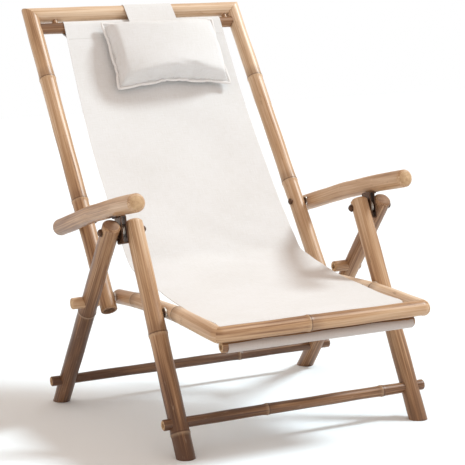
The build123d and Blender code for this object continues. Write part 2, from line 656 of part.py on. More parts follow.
# The two sling nodes meet a little above the bend
LAP_TURN = BACK_TURN * SLING_LAP / BACK_LENGTH
GAP_TURN = BACK_TURN * SOFT_GAP / BACK_LENGTH
SLING_LENGTH = BACK_LENGTH + BEND_LENGTH + SEAT_LENGTH + HEM_LENGTH + SLING_HEM_DROP


def sling_back():
    """Canvas of the back, from its hem on the upper rod to a little above the bend."""
    moves = [(BACK_R, LAP_TURN + GAP_TURN - BACK_TURN)]
    profile = band(SLING_TOP, 180 + SLING_TOP_FALL, moves, SLING_T) + sleeve(BACK_ROD, BACK_SLEEVE_R)
    return cloth(profile, SLING_LEFT_X, SLING_RIGHT_X)


def sling_seat():
    """Canvas of the seat: the bend, the slack run to the front, and the hem round the lower rod."""
    begin = JernArc(SLING_TOP, heading(180 + SLING_TOP_FALL), BACK_R, LAP_TURN - BACK_TURN) @ 1
    moves = [(BACK_R, -LAP_TURN), (SLING_BEND_R, -BEND_TURN), (SEAT_R, -SEAT_TURN)]
    moves += [(SLING_HEM_R, HEM_TURN), SLING_HEM_DROP]
    fall = SLING_LOW_FALL + LAP_TURN
    profile = band((begin.X, begin.Y), 180 + fall, moves, SLING_T) + sleeve(SEAT_ROD, SEAT_SLEEVE_R)
    return cloth(profile, SLING_LEFT_X, SLING_RIGHT_X)


PILLOW_BACK_OFFSET = BACK_SLEEVE_R + SLING_T / 2 + SOFT_GAP
PILLOW_SEAM_OFFSET = PILLOW_BACK_OFFSET + PILLOW_BACK_CROWN + PILLOW_EDGE / 2
PILLOW_TOP = shift(shift(BACK_CORNER, STILE_FRONT, PILLOW_SEAM_OFFSET), STILE_UP, -PILLOW_TOP_BELOW_RAIL)
PILLOW_UP = lean(PILLOW_LEAN)


def head_pillow():
    """Stuffed pillow: crowned to the front, nearly flat behind, its sides drawn in between the corners."""
    centre = shift(PILLOW_TOP, PILLOW_UP, -PILLOW_HEIGHT / 2)
    places = (-1.0, -0.72, -0.3, 0.3, 0.72, 1.0)
    sections = []
    for place in places:
        fullness = 1 - abs(place) ** 2.4
        half = (PILLOW_HEIGHT - PILLOW_SIDE_DRAW * fullness) / 2
        front = PILLOW_EDGE / 2 + PILLOW_CROWN * fullness
        back = PILLOW_EDGE / 2 + PILLOW_BACK_CROWN * fullness
        crown = ThreePointArc((-half, PILLOW_EDGE / 4), (0, front), (half, PILLOW_EDGE / 4))
        under = ThreePointArc((half, -PILLOW_EDGE / 4), (0, -back), (-half, -PILLOW_EDGE / 4))
        sides = [Line(crown @ 1, under @ 0), Line(under @ 1, crown @ 0)]
        origin = at(PILLOW_X + place * PILLOW_WIDTH / 2, centre)
        plane = Plane(origin=origin, x_dir=at(0, PILLOW_UP), z_dir=X_AXIS)
        face = make_face([crown, sides[0], under, sides[1]])
        sections.append(plane * face)
    return loft(sections)


def pillow_strap():
    """Cloth strap from the pillow's top seam over the top rail and down behind the back."""
    wrap = TOP_RAIL_D / 2 + SOFT_GAP + STRAP_T / 2
    rise = PILLOW_TOP_BELOW_RAIL - SOFT_GAP
    begin = shift(shift(BACK_CORNER, STILE_FRONT, wrap), STILE_UP, -rise)
    moves = [rise, (wrap, -180), STRAP_TAIL]
    profile = band(begin, 90 - STILE_LEAN, moves, STRAP_T)
    return cloth(profile, STRAP_X - STRAP_WIDTH / 2, STRAP_X + STRAP_WIDTH / 2)


def build():
    """All pieces, by node name. A node that holds several alike pieces is a list of solids."""
    nodes = {}
    for side, name in SIDE_NAMES.items():
        nodes[f"front_leg_{name}"] = front_leg(side)
        nodes[f"rear_leg_{name}"] = rear_leg(side)
        nodes[f"stop_peg_{name}"] = stop_peg(side)
        nodes[f"seat_rail_{name}"] = seat_rail(side)
        nodes[f"back_stile_{name}"] = back_stile(side)
        nodes[f"armrest_{name}"] = armrest(side)
        nodes[f"armrest_bracket_{name}"] = bracket(side)
        nodes[f"bracket_screws_{name}"] = bracket_screws(side)
        nodes[f"armrest_bolt_{name}"] = bolt(side * (STILE_IN - SIDE_GAP), side * ARMREST_X, ARM_PIVOT)
        gap = side * (STILE_OUT + SIDE_GAP), side * (ARMREST_IN - SIDE_GAP)
        nodes[f"armrest_washer_{name}"] = washer(*gap, ARM_PIVOT)
    front_half = FRONT_LEG_OUT + CROSS_RAIL_PROUD
    rear_half = REAR_LEG_OUT + REAR_RAIL_PROUD
    nodes["front_cross_rail"] = cross_rail(FRONT_CROSS_RAIL, front_half, FRONT_CROSS_NODES)
    nodes["rear_cross_rail"] = cross_rail(REAR_CROSS_RAIL, rear_half, REAR_CROSS_NODES)
    nodes["seat_front_rail"] = front_rail()
    rod_span = SEAT_ROD_LEFT_X, SEAT_ROD_RIGHT_X
    nodes["seat_canvas_rod"] = canvas_rod(*rod_span, SEAT_ROD, SEAT_ROD_D, SEAT_ROD_BORE)
    nodes["back_top_rail"] = top_rail()
    rod_end = STILE_IN + BACK_ROD_TENON
    nodes["back_canvas_rod"] = canvas_rod(-rod_end, rod_end, BACK_ROD, BACK_ROD_D)
    nodes["rod_spacer_pegs"] = [spacer_peg(x) for x in (SPACER_PEG_LEFT_X, SPACER_PEG_RIGHT_X)]
    nodes["top_corner_dowels"] = [dowel_across(back_mitre(side)) for side in SIDE_NAMES]
    nodes["front_corner_dowels"] = [dowel_across(seat_mitre(side)) for side in SIDE_NAMES]
    nodes["pivot_springs"] = [pivot_spring(side) for side in SIDE_NAMES]
    leg_bolts, leg_washers, leg_nuts = [], [], []
    seat_bolts, seat_washers, back_bolts, back_washers = [], [], [], []
    for side in SIDE_NAMES:
        outer = REAR_LEG_OUT + SIDE_GAP
        inner = FRONT_LEG_IN - SIDE_GAP
        nut_face = inner - OUTER_WASHER_T
        leg_washers.append(washer(side * outer, side * (outer + OUTER_WASHER_T), LEG_PIVOT, OUTER_WASHER_D))
        leg_washers.append(washer(side * nut_face, side * inner, LEG_PIVOT, OUTER_WASHER_D))
        leg_bolts.append(bolt(side * (outer + OUTER_WASHER_T), side * (nut_face - NUT_H / 2), LEG_PIVOT))
        leg_nuts.append(cap_nut(side * nut_face, LEG_PIVOT, -side))
        head = side * (SEAT_RAIL_IN + BOLT_HEAD_SINK)
        rail_face = side * (SEAT_RAIL_OUT + SIDE_GAP)
        seat_bolts.append(bolt(head, side * (FRONT_LEG_IN + BOLT_BITE), SEAT_PIVOT))
        seat_washers.append(washer(rail_face, side * (FRONT_LEG_IN - SIDE_GAP), SEAT_PIVOT))
        back_bolts.append(bolt(head, side * (STILE_IN + BOLT_BITE), BACK_PIVOT))
        back_washers.append(washer(rail_face, side * (STILE_IN - SIDE_GAP), BACK_PIVOT))
    nodes["leg_pivot_bolts"] = leg_bolts
    nodes["leg_pivot_washers"] = leg_washers
    nodes["leg_pivot_nuts"] = leg_nuts
    nodes["seat_pivot_bolts"] = seat_bolts
    nodes["seat_pivot_washers"] = seat_washers
    nodes["back_pivot_bolts"] = back_bolts
    nodes["back_pivot_washers"] = back_washers
    nodes["sling_back"] = sling_back()
    nodes["sling_seat"] = sling_seat()
    nodes["head_pillow"] = head_pillow()
    nodes["pillow_strap"] = pillow_strap()
    return nodes


def write_nodes(nodes):
    """Put the origin on the floor under the middle of the chair's box and write one file per node."""
    os.makedirs("parts", exist_ok=True)
    shapes = {}
    for name, piece in nodes.items():
        shapes[name] = Compound(children=piece) if isinstance(piece, list) else piece
    boxes = [shape.bounding_box() for shape in shapes.values()]
    back = -(min(b.min.Y for b in boxes) + max(b.max.Y for b in boxes)) / 2
    for name, shape in shapes.items():
        export_step(Pos(0, back, 0) * shape, f"parts/{name}.step")
    pivots = {"leg": LEG_PIVOT, "seat": SEAT_PIVOT, "back": BACK_PIVOT, "arm": ARM_PIVOT}
    for name, p in pivots.items():
        print(f"{name} pivot: y {p[0] + back:.3f}, z {p[1]:.3f}")
    print(f"sling: {SLING_LENGTH:.0f} mm from rod to rod, {SLING_RIGHT_X - SLING_LEFT_X:.0f} mm wide")
    print(f"feet: front y {FRONT_FOOT[0] + back:.3f}, rear y {REAR_FOOT[0] + back:.3f}; shift {back:.3f}")


write_nodes(build())
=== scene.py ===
"""Dressing of a bamboo deck chair: grown culms, hung canvas, a stuffed pillow and its strap. Metres."""

import json
import math

import bmesh
import bpy
import numpy as np
from mathutils import Matrix, Vector


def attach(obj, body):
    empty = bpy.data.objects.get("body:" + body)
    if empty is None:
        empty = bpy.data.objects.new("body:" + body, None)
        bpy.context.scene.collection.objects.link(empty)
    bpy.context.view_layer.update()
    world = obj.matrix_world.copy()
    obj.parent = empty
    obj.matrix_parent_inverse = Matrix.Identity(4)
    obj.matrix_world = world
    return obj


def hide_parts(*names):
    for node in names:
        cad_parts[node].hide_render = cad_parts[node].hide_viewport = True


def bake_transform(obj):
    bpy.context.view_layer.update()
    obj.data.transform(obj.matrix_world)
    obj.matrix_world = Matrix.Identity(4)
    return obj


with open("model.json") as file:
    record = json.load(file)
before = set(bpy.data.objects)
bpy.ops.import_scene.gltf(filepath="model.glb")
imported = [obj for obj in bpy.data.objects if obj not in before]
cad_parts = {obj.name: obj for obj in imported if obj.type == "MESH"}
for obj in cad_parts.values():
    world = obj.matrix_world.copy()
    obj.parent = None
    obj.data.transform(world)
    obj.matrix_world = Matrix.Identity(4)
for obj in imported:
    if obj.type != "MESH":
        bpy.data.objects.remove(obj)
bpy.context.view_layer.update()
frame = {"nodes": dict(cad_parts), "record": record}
NODES = frame["nodes"]
BODY_OF = {n: b for b, ns in frame["record"]["behaviour"]["bodies"].items() for n in ns}
scene = bpy.context.scene
scene.view_settings.view_transform = "Standard"
RNG = np.random.default_rng(7)

# Side view points of the chair, (y, z)
STILE_LEAN = math.radians(34.1)
STILE_UP = np.array([math.sin(STILE_LEAN), math.cos(STILE_LEAN)])
STILE_FRONT = np.array([-math.cos(STILE_LEAN), math.sin(STILE_LEAN)])
TOP_RAIL = np.array([0.4173, 0.7967])
BACK_ROD = np.array([0.3977, 0.7677])
SEAT_ROD = np.array([-0.4035, 0.2044])


def link(obj):
    scene.collection.objects.link(obj)
    return obj


def new_object(name, verts, faces):
    mesh = bpy.data.meshes.new(name)
    mesh.from_pydata([tuple(v) for v in verts], [], [tuple(f) for f in faces])
    mesh.update()
    mesh.polygons.foreach_set("use_smooth", [True] * len(mesh.polygons))
    return link(bpy.data.objects.new(name, mesh))


def points_of(mesh):
    co = np.empty(len(mesh.vertices) * 3)
    mesh.vertices.foreach_get("co", co)
    return co.reshape(-1, 3)


def face_outward(mesh):
    bm = bmesh.new()
    bm.from_mesh(mesh)
    bmesh.ops.recalc_face_normals(bm, faces=bm.faces)
    bm.to_mesh(mesh)
    bm.free()


def store(mesh, name, kind, values):
    """Keeps one value for each point of a mesh, for its material."""
    attribute = mesh.attributes.new(name, kind, "POINT")
    field = "vector" if kind == "FLOAT_VECTOR" else "value"
    attribute.data.foreach_set(field, np.asarray(values, np.float32).ravel())


def repaint(names, material):
    """Gives CAD nodes that keep their own shape their material."""
    for name in names:
        NODES[name].data.materials.clear()
        NODES[name].data.materials.append(material)


# Materials. Colour sockets of a Mix node:
MIX_FACTOR, MIX_FIRST, MIX_SECOND, MIX_RESULT = 0, 6, 7, 2


class Shader:
    """Small helper that wires one material's node tree."""

    def __init__(self, name):
        self.material = bpy.data.materials.new(name)
        self.material.use_nodes = True
        self.tree = self.material.node_tree
        self.bsdf = self.tree.nodes["Principled BSDF"]

    def node(self, kind, **settings):
        n = self.tree.nodes.new(kind)
        for key, value in settings.items():
            setattr(n, key, value)
        return n

    def put(self, value, socket):
        if isinstance(value, bpy.types.NodeSocket):
            self.tree.links.new(value, socket)
        else:
            socket.default_value = value

    def math(self, operation, a, b=0.0):
        n = self.node("ShaderNodeMath", operation=operation)
        for value, socket in zip((a, b), n.inputs):
            self.put(value, socket)
        return n.outputs[0]

    def weighted(self, a, share_a, b, share_b):
        return self.math("ADD", self.math("MULTIPLY", a, share_a), self.math("MULTIPLY", b, share_b))

    def attribute(self, name, output="Fac"):
        return self.node("ShaderNodeAttribute", attribute_name=name).outputs[output]

    def scaled(self, vector, scale):
        n = self.node("ShaderNodeVectorMath", operation="MULTIPLY")
        self.put(vector, n.inputs[0])
        n.inputs[1].default_value = scale
        return n.outputs[0]

    def noise(self, vector, scale=1.0, detail=3.0, rough=0.55):
        n = self.node("ShaderNodeTexNoise")
        self.put(vector, n.inputs["Vector"])
        n.inputs["Scale"].default_value = scale
        n.inputs["Detail"].default_value = detail
        n.inputs["Roughness"].default_value = rough
        return n.outputs["Fac"]

    def ramp(self, fac, stops):
        n = self.node("ShaderNodeValToRGB")
        self.put(fac, n.inputs["Fac"])
        elements = n.color_ramp.elements
        while len(elements) < len(stops):
            elements.new(0.5)
        for element, (place, colour) in zip(elements, stops):
            element.position = place
            element.color = (*colour, 1.0)
        return n.outputs["Color"]

    def span(self, value, low, high):
        """0 at low, 1 at high, smooth between."""
        n = self.node("ShaderNodeMapRange", interpolation_type="SMOOTHSTEP")
        self.put(value, n.inputs["Value"])
        n.inputs["From Min"].default_value = low
        n.inputs["From Max"].default_value = high
        return n.outputs["Result"]

    def tinted(self, fac, share, colour, tint):
        """The colour, with a share of a tint where fac is 1."""
        n = self.node("ShaderNodeMix", data_type="RGBA")
        self.put(self.math("MULTIPLY", fac, share), n.inputs[MIX_FACTOR])
        self.put(colour, n.inputs[MIX_FIRST])
        self.put((*tint, 1.0), n.inputs[MIX_SECOND])
        return n.outputs[MIX_RESULT]

    def bump(self, height, strength, distance):
        n = self.node("ShaderNodeBump")
        n.inputs["Strength"].default_value = strength
        n.inputs["Distance"].default_value = distance
        self.put(height, n.inputs["Height"])
        self.tree.links.new(n.outputs["Normal"], self.bsdf.inputs["Normal"])


BAMBOO_RAMP = [
    (0.24, (0.098, 0.043, 0.020)),
    (0.38, (0.240, 0.118, 0.054)),
    (0.52, (0.470, 0.280, 0.150)),
    (0.70, (0.670, 0.480, 0.320)),
    (0.86, (0.820, 0.660, 0.500)),
]
FRECKLE_TINT = (0.17, 0.085, 0.043)
SCUFF_TINT = (0.56, 0.41, 0.29)
WAX_TINT = (0.60, 0.42, 0.26)
SMOKE_TINT = (0.15, 0.070, 0.034)
SCAR_TINT = (0.075, 0.030, 0.012)
TONE_REACH = 0.46
NO_NODE = 1.0


def bamboo_material(name, tone=None):
    """Lacquered culm: lengthwise fibres, mottling, a dark scar and a waxy band at each node.

    A given tone makes the version for small pieces, which have no nodes of their own."""
    s = Shader(name)
    if tone is None:
        fibre, gap, tone = s.attribute("fibre", "Vector"), s.attribute("node_gap"), s.attribute("tone")
    else:
        fibre, gap = s.node("ShaderNodeTexCoord").outputs["Object"], NO_NODE
    streak = s.noise(s.scaled(fibre, (460, 460, 4)), detail=4, rough=0.6)
    mottle = s.noise(s.scaled(fibre, (70, 70, 5)), detail=3, rough=0.55)
    blotch = s.noise(s.scaled(fibre, (120, 120, 34)), detail=3, rough=0.6)
    scuff = s.noise(s.scaled(fibre, (210, 210, 48)), detail=3, rough=0.65)
    mixed = s.weighted(streak, 0.55, mottle, 0.45)
    shade = s.math("ADD", mixed, s.math("MULTIPLY", s.math("SUBTRACT", tone, 0.5), TONE_REACH))
    honey = s.ramp(shade, BAMBOO_RAMP)
    honey = s.tinted(s.span(blotch, 0.62, 0.76), 0.40, honey, FRECKLE_TINT)
    honey = s.tinted(s.span(scuff, 0.60, 0.78), 0.24, honey, SCUFF_TINT)
    # Waxy paler band on one side of a node, a smoky one on the other and the scar between
    wax = s.math("MULTIPLY", s.span(gap, -0.009, -0.002), s.span(gap, 0.0005, -0.001))
    honey = s.tinted(wax, 0.28, honey, WAX_TINT)
    smoke = s.math("MULTIPLY", s.span(gap, 0.000, 0.002), s.span(gap, 0.030, 0.003))
    honey = s.tinted(smoke, 0.38, honey, SMOKE_TINT)
    scar = s.span(s.math("ABSOLUTE", gap), 0.0021, 0.0005)
    honey = s.tinted(scar, 0.70, honey, SCAR_TINT)
    s.put(honey, s.bsdf.inputs["Base Color"])
    s.put(s.math("ADD", s.math("MULTIPLY", streak, 0.20), 0.29), s.bsdf.inputs["Roughness"])
    s.bsdf.inputs["Specular IOR Level"].default_value = 0.45
    s.bump(s.math("ADD", streak, s.math("MULTIPLY", mottle, 0.5)), 0.35, 0.0005)
    return s.material


FIBRE_TINT = (0.22, 0.11, 0.05)


def cut_material(name, light, dark):
    """Sawn end of a culm, with dark fibre ends."""
    s = Shader(name)
    fibre = s.attribute("fibre", "Vector")
    dots = s.noise(s.scaled(fibre, (1400, 1400, 60)), detail=1)
    body = s.noise(s.scaled(fibre, (150, 150, 150)), detail=3)
    pale = s.ramp(body, [(0.3, dark), (0.7, light)])
    s.put(s.tinted(s.span(dots, 0.58, 0.7), 0.4, pale, FIBRE_TINT), s.bsdf.inputs["Base Color"])
    s.bsdf.inputs["Roughness"].default_value = 0.75
    return s.material


THREAD_PITCH = 0.00085
CANVAS_TINT = (0.748, 0.746, 0.750)
FLECK_KEEPS = (0.90, 0.885, 0.86)
# Share of its colour that the canvas keeps at the front hem: painted shade, for the hem that rolls under the
# front rail
HEM_SHADE_KEEPS = (0.68, 0.59, 0.54)


def canvas_material(name, tint=CANVAS_TINT):
    """Plain weave cotton: crossed threads in the cloth's own coordinates, with slubs."""
    s = Shader(name)
    place = s.attribute("cloth", "Vector")
    split = s.node("ShaderNodeSeparateXYZ")
    s.put(place, split.inputs[0])
    warp, weft = (
        s.math("SINE", s.math("MULTIPLY", split.outputs[i], 2 * math.pi / THREAD_PITCH)) for i in (0, 1)
    )
    weave = s.math("MULTIPLY", warp, weft)
    warp_slub = s.noise(s.scaled(place, (900, 45, 1)), detail=2)
    weft_slub = s.noise(s.scaled(place, (45, 900, 1)), detail=2)
    cloud = s.noise(s.scaled(place, (7, 7, 1)), detail=3)
    threads = s.weighted(warp_slub, 0.5, weft_slub, 0.5)
    fleck = s.weighted(threads, 0.7, cloud, 0.3)
    dark = tuple(c * k for c, k in zip(tint, FLECK_KEEPS))
    # Painted shade: the canvas is darker at the front hem, where it rolls under the front rail
    keep = s.node("ShaderNodeVectorMath", operation="MULTIPLY_ADD")
    s.put(s.attribute("hem_shade"), keep.inputs[0])
    keep.inputs[1].default_value = [k - 1 for k in HEM_SHADE_KEEPS]
    keep.inputs[2].default_value = (1, 1, 1)
    colour = s.node("ShaderNodeVectorMath", operation="MULTIPLY")
    s.put(s.ramp(fleck, [(0.34, dark), (0.58, tint)]), colour.inputs[0])
    s.put(keep.outputs[0], colour.inputs[1])
    s.put(colour.outputs[0], s.bsdf.inputs["Base Color"])
    s.bsdf.inputs["Roughness"].default_value = 0.92
    s.bsdf.inputs["Specular IOR Level"].default_value = 0.2
    s.bsdf.inputs["Sheen Weight"].default_value = 0.25
    s.bump(s.math("ADD", s.math("MULTIPLY", weave, 0.3), threads), 0.22, 0.0004)
    return s.material


def metal_material(name, colour, rough, metallic):
    s = Shader(name)
    coord = s.node("ShaderNodeTexCoord").outputs["Object"]
    wear = s.noise(coord, scale=260, detail=3)
    worn = tuple(min(1.0, c * 1.9) for c in colour)
    s.put(s.ramp(wear, [(0.35, colour), (0.8, worn)]), s.bsdf.inputs["Base Color"])
    s.put(s.math("ADD", s.math("MULTIPLY", wear, 0.2), rough), s.bsdf.inputs["Roughness"])
    s.bsdf.inputs["Metallic"].default_value = metallic
    return s.material


BAMBOO = bamboo_material("bamboo")
PEG_WOOD = bamboo_material("bamboo_peg", tone=0.42)
CUT = cut_material("bamboo_cut", (0.60, 0.41, 0.235), (0.44, 0.265, 0.135))
# Darker sawn ends: painted shade for the stiles and rear legs
CUT_DARK = cut_material("bamboo_cut_shaded", (0.33, 0.195, 0.115), (0.22, 0.120, 0.068))
CANVAS = canvas_material("canvas")
BRONZE = metal_material("bronze_steel", (0.085, 0.045, 0.026), 0.3, 0.75)
STEEL = metal_material("washer_steel", (0.50, 0.47, 0.43), 0.28, 1.0)
# The piping is paler than the canvas: painted light on the bead of the seam.
PIPED = canvas_material("piping", tint=(0.830, 0.815, 0.810))
# The thread is darker than the canvas, partly painted shade for the groove of the pillow's seam, where its
# stitches lie.
THREAD = canvas_material("thread", tint=(0.50, 0.47, 0.44))
STEEL_NODES = (
    "pivot_springs", "seat_pivot_washers", "back_pivot_washers", "armrest_washer_left", "armrest_washer_right"
)
BRONZE_NODES = (
    "leg_pivot_bolts", "leg_pivot_nuts", "leg_pivot_washers", "seat_pivot_bolts", "back_pivot_bolts",
    "armrest_bolt_left", "armrest_bolt_right", "armrest_bracket_left", "armrest_bracket_right",
    "bracket_screws_left", "bracket_screws_right"
)
PEG_NODES = ("rod_spacer_pegs", "top_corner_dowels", "front_corner_dowels")
for names, material in ((STEEL_NODES, STEEL), (BRONZE_NODES, BRONZE), (PEG_NODES, PEG_WOOD)):
    repaint(names, material)

# Culms
POLE_R = 0.0170
STILE_R = 0.0165
TOP_RAIL_R = 0.0160
SEAT_RAIL_R = 0.0145
FRONT_RAIL_R = 0.0140
BACK_ROD_R = 0.0120
PEG_R = 0.0110
SEAT_ROD_R = 0.0105
CROSS_RAIL_R = 0.0100


def both_sides(x, points):
    return {side: [(s * x, y, z) for y, z in points] for side, s in (("left", -1), ("right", 1))}


FRONT_LEG = both_sides(0.238, [(-0.3488, -0.0305), (-0.1358, 0.4024)])
REAR_LEG = both_sides(0.285, [(0.2395, -0.0250), (-0.1505, 0.3995)])
STILE = both_sides(0.238, [(0.0210, 0.2113), (0.4358, 0.8240)])
SEAT_RAIL = both_sides(
    0.203, [(0.0632, 0.2303), (-0.0416, 0.2367), (-0.2467, 0.2391), (-0.4489, 0.2271)]
)
ARMREST = both_sides(
    0.274, [(0.1881, 0.3635), (-0.0210, 0.4091), (-0.1540, 0.4326), (-0.2558, 0.4480)]
)
FRONT_RAIL = (-0.4199, 0.2288)
FRONT_CROSS = (-0.3058, 0.0570)
REAR_CROSS = (0.1669, 0.0540)
STOP_PEG_LEFT = (-0.0021, 0.238)
STOP_PEG_RIGHT = (-0.0159, 0.253)


def across(first, last, p):
    return [(first, *p), (last, *p)]


# Of each culm: its axis, its radius, where its nodes are along the axis, and its tones at the axis's first
# and last end, higher being paler. A bent pole has None for nodes: they are at its bends.
# The tones are partly painted light: most right-hand culms, on the lit side, are paler than their left-hand
# twins, and the cross rails under the seat are darker, in its shade.
CULMS = {
    "front_leg_left": (FRONT_LEG["left"], POLE_R, (0.080, 0.264), (-0.20, 0.70)),
    "front_leg_right": (FRONT_LEG["right"], POLE_R, (), (0.20, 0.52)),
    "rear_leg_left": (REAR_LEG["left"], POLE_R, (0.331,), (0.00, 0.24)),
    "rear_leg_right": (REAR_LEG["right"], POLE_R, (), (0.12, 0.40)),
    "back_stile_left": (STILE["left"], STILE_R, (0.249, 0.544), (0.46, 0.52)),
    "back_stile_right": (STILE["right"], STILE_R, (0.251, 0.520), (0.62, 0.84)),
    "back_top_rail": (across(-0.270, 0.270, TOP_RAIL), TOP_RAIL_R, (), (0.76, 0.98)),
    "back_canvas_rod": (across(-0.2315, 0.2315, BACK_ROD), BACK_ROD_R, (), (0.24, 0.24)),
    "seat_rail_left": (SEAT_RAIL["left"], SEAT_RAIL_R, None, (0.70, 0.74)),
    "seat_rail_right": (SEAT_RAIL["right"], SEAT_RAIL_R, None, (1.10, 1.16)),
    "seat_front_rail": (across(-0.231, 0.231, FRONT_RAIL), FRONT_RAIL_R, (0.201,), (0.44, 0.50)),
    "seat_canvas_rod": (across(-0.192, 0.190, SEAT_ROD), SEAT_ROD_R, (), (0.22, 0.30)),
    "front_cross_rail": (across(-0.267, 0.267, FRONT_CROSS), CROSS_RAIL_R, (0.205, 0.444), (-0.02, 0.12)),
    "rear_cross_rail": (across(-0.320, 0.320, REAR_CROSS), CROSS_RAIL_R, (0.423,), (-0.16, 0.08)),
    "armrest_left": (ARMREST["left"], POLE_R, None, (0.46, 0.54)),
    "armrest_right": (ARMREST["right"], POLE_R, None, (0.54, 0.66)),
    "stop_peg_left": (across(-0.268, -0.322, STOP_PEG_LEFT), PEG_R, (), (0.60, 0.64)),
    "stop_peg_right": (across(0.241, 0.302, STOP_PEG_RIGHT), PEG_R, (), (0.44, 0.40)),
}

# Armrests are sanded, so no node shows on them. The sawn ends of stiles and rear legs are darker: painted
# shade.
SMOOTH_CULMS = ("armrest_left", "armrest_right")
SHADED_END_CULMS = ("back_stile_left", "back_stile_right", "rear_leg_left", "rear_leg_right")
CULM_STEP = 0.006
RING_CUTS = (-0.009, -0.0065, -0.0045, -0.003, -0.0015, 0.0, 0.0015, 0.003, 0.0045, 0.0065, 0.009)
RING_REACH = 0.012
RING_RISE, RING_PLACE, RING_WIDTH = 0.0010, -0.0012, 0.0036
SCAR_DEPTH, SCAR_WIDTH = 0.0005, 0.0009
SWELL_RISE, SWELL_WIDTH = 0.0003, 0.012
END_FADE = 0.012
FOOT_FADE = 0.010
WALL_MIN = 0.0040
CULM_SHARP = math.radians(38)
WELD = 1e-6
CUT_DIST = 1e-7


def along_axis(co, points):
    """For each point: distance along the axis, place across it in two directions, and the axis there."""
    points = [np.array(p, float) for p in points]
    best = np.full(len(co), np.inf)
    s_out = np.zeros(len(co))
    uv = np.zeros((len(co), 2))
    axis_out = np.zeros((len(co), 3))
    begin = 0.0
    for i, (p, q) in enumerate(zip(points, points[1:])):
        axis = (q - p) / np.linalg.norm(q - p)
        length = np.linalg.norm(q - p)
        e1 = np.cross(axis, (0.3, 0.2, 1.0) if abs(axis[2]) < 0.9 else (1.0, 0.0, 0.0))
        e1 /= np.linalg.norm(e1)
        e2 = np.cross(axis, e1)
        s = (co - p) @ axis
        beyond = np.maximum(0, -s) * (i > 0) + np.maximum(0, s - length) * (i < len(points) - 2)
        near = beyond < best - 1e-9
        best[near] = beyond[near]
        s_out[near] = begin + s[near]
        uv[near] = np.stack([(co[near] - p) @ e1, (co[near] - p) @ e2], 1)
        axis_out[near] = axis
        begin += length
    return s_out, uv, axis_out, begin


def cut_across(bm, point, normal):
    geometry = bm.verts[:] + bm.edges[:] + bm.faces[:]
    bmesh.ops.bisect_plane(bm, geom=geometry, dist=CUT_DIST, plane_co=point, plane_no=normal)


# The seat's front corners are sanded to a dome: the square corner outside this centre becomes round
CORNER_CULMS = ("seat_rail_left", "seat_rail_right", "seat_front_rail")
CORNER_X = 0.1975
CORNER_Y = -0.4152
CORNER_CUTS = (0.0, 0.003, 0.006, 0.009, 0.012, 0.015, 0.018)


def cut_corners(bm):
    for cut in CORNER_CUTS:
        cut_across(bm, (CORNER_X + cut, 0, 0), (1, 0, 0))
        cut_across(bm, (-CORNER_X - cut, 0, 0), (1, 0, 0))
        cut_across(bm, (0, CORNER_Y - cut, 0), (0, 1, 0))


def round_corners(co):
    over_x, over_y = np.abs(co[:, 0]) - CORNER_X, CORNER_Y - co[:, 1]
    outside = (over_x > 0) & (over_y > 0)
    over_x, over_y = over_x[outside], over_y[outside]
    pull = np.maximum(over_x, over_y) / np.hypot(over_x, over_y)
    co = co.copy()
    co[outside, 0] = np.sign(co[outside, 0]) * (CORNER_X + over_x * pull)
    co[outside, 1] = CORNER_Y - over_y * pull
    return co


def ringed_mesh(name, points, nodes):
    """Mesh of a CAD solid, cut into short rings, closer together at the nodes."""
    bm = bmesh.new()
    bm.from_mesh(NODES[name].data)
    bmesh.ops.remove_doubles(bm, verts=bm.verts, dist=WELD)
    for p, q in zip(points, points[1:]):
        p, q = Vector(p), Vector(q)
        count = max(2, round((q - p).length / CULM_STEP))
        cuts = [i / count for i in range(1, count)]
        cuts += [(n + c) / (q - p).length for n in nodes or () for c in RING_CUTS]
        for cut in sorted(cuts):
            cut_across(bm, p.lerp(q, cut), q - p)
    if name in CORNER_CULMS:
        cut_corners(bm)
    mesh = bpy.data.meshes.new(name + "_culm")
    bm.to_mesh(mesh)
    bm.free()
    return mesh


def axis_middle(co, points, axis):
    """The point of the axis that each point lies beside."""
    middle = np.zeros_like(co)
    for p, q in zip(points, points[1:]):
        p, q = np.array(p), np.array(q)
        d = (q - p) / np.linalg.norm(q - p)
        mask = np.all(np.abs(axis - d) < 1e-9, axis=1)
        middle[mask] = p + ((co[mask] - p) @ d)[:, None] * d
    return middle


def node_gap(s, nodes):
    """Signed distance along the culm to its nearest node."""
    gaps = np.array([s - n for n in nodes]) if nodes else np.full((1, len(s)), NO_NODE)
    return gaps[np.abs(gaps).argmin(axis=0), np.arange(len(s))]


def paint_culm(mesh, sawn, axis, r, radius):
    """Bamboo outside, and the sawn look on the ends and inside the bores."""
    mesh.materials.append(BAMBOO)
    mesh.materials.append(sawn)
    for polygon in mesh.polygons:
        polygon.use_smooth = True
        ids = list(polygon.vertices)
        flat = abs(np.dot(np.array(polygon.normal), axis[ids[0]]))
        inside = r[ids].max() < radius - WALL_MIN
        if flat > 0.75 or (inside and flat < 0.5):
            polygon.material_index = 1
    mesh.set_sharp_from_angle(angle=CULM_SHARP)


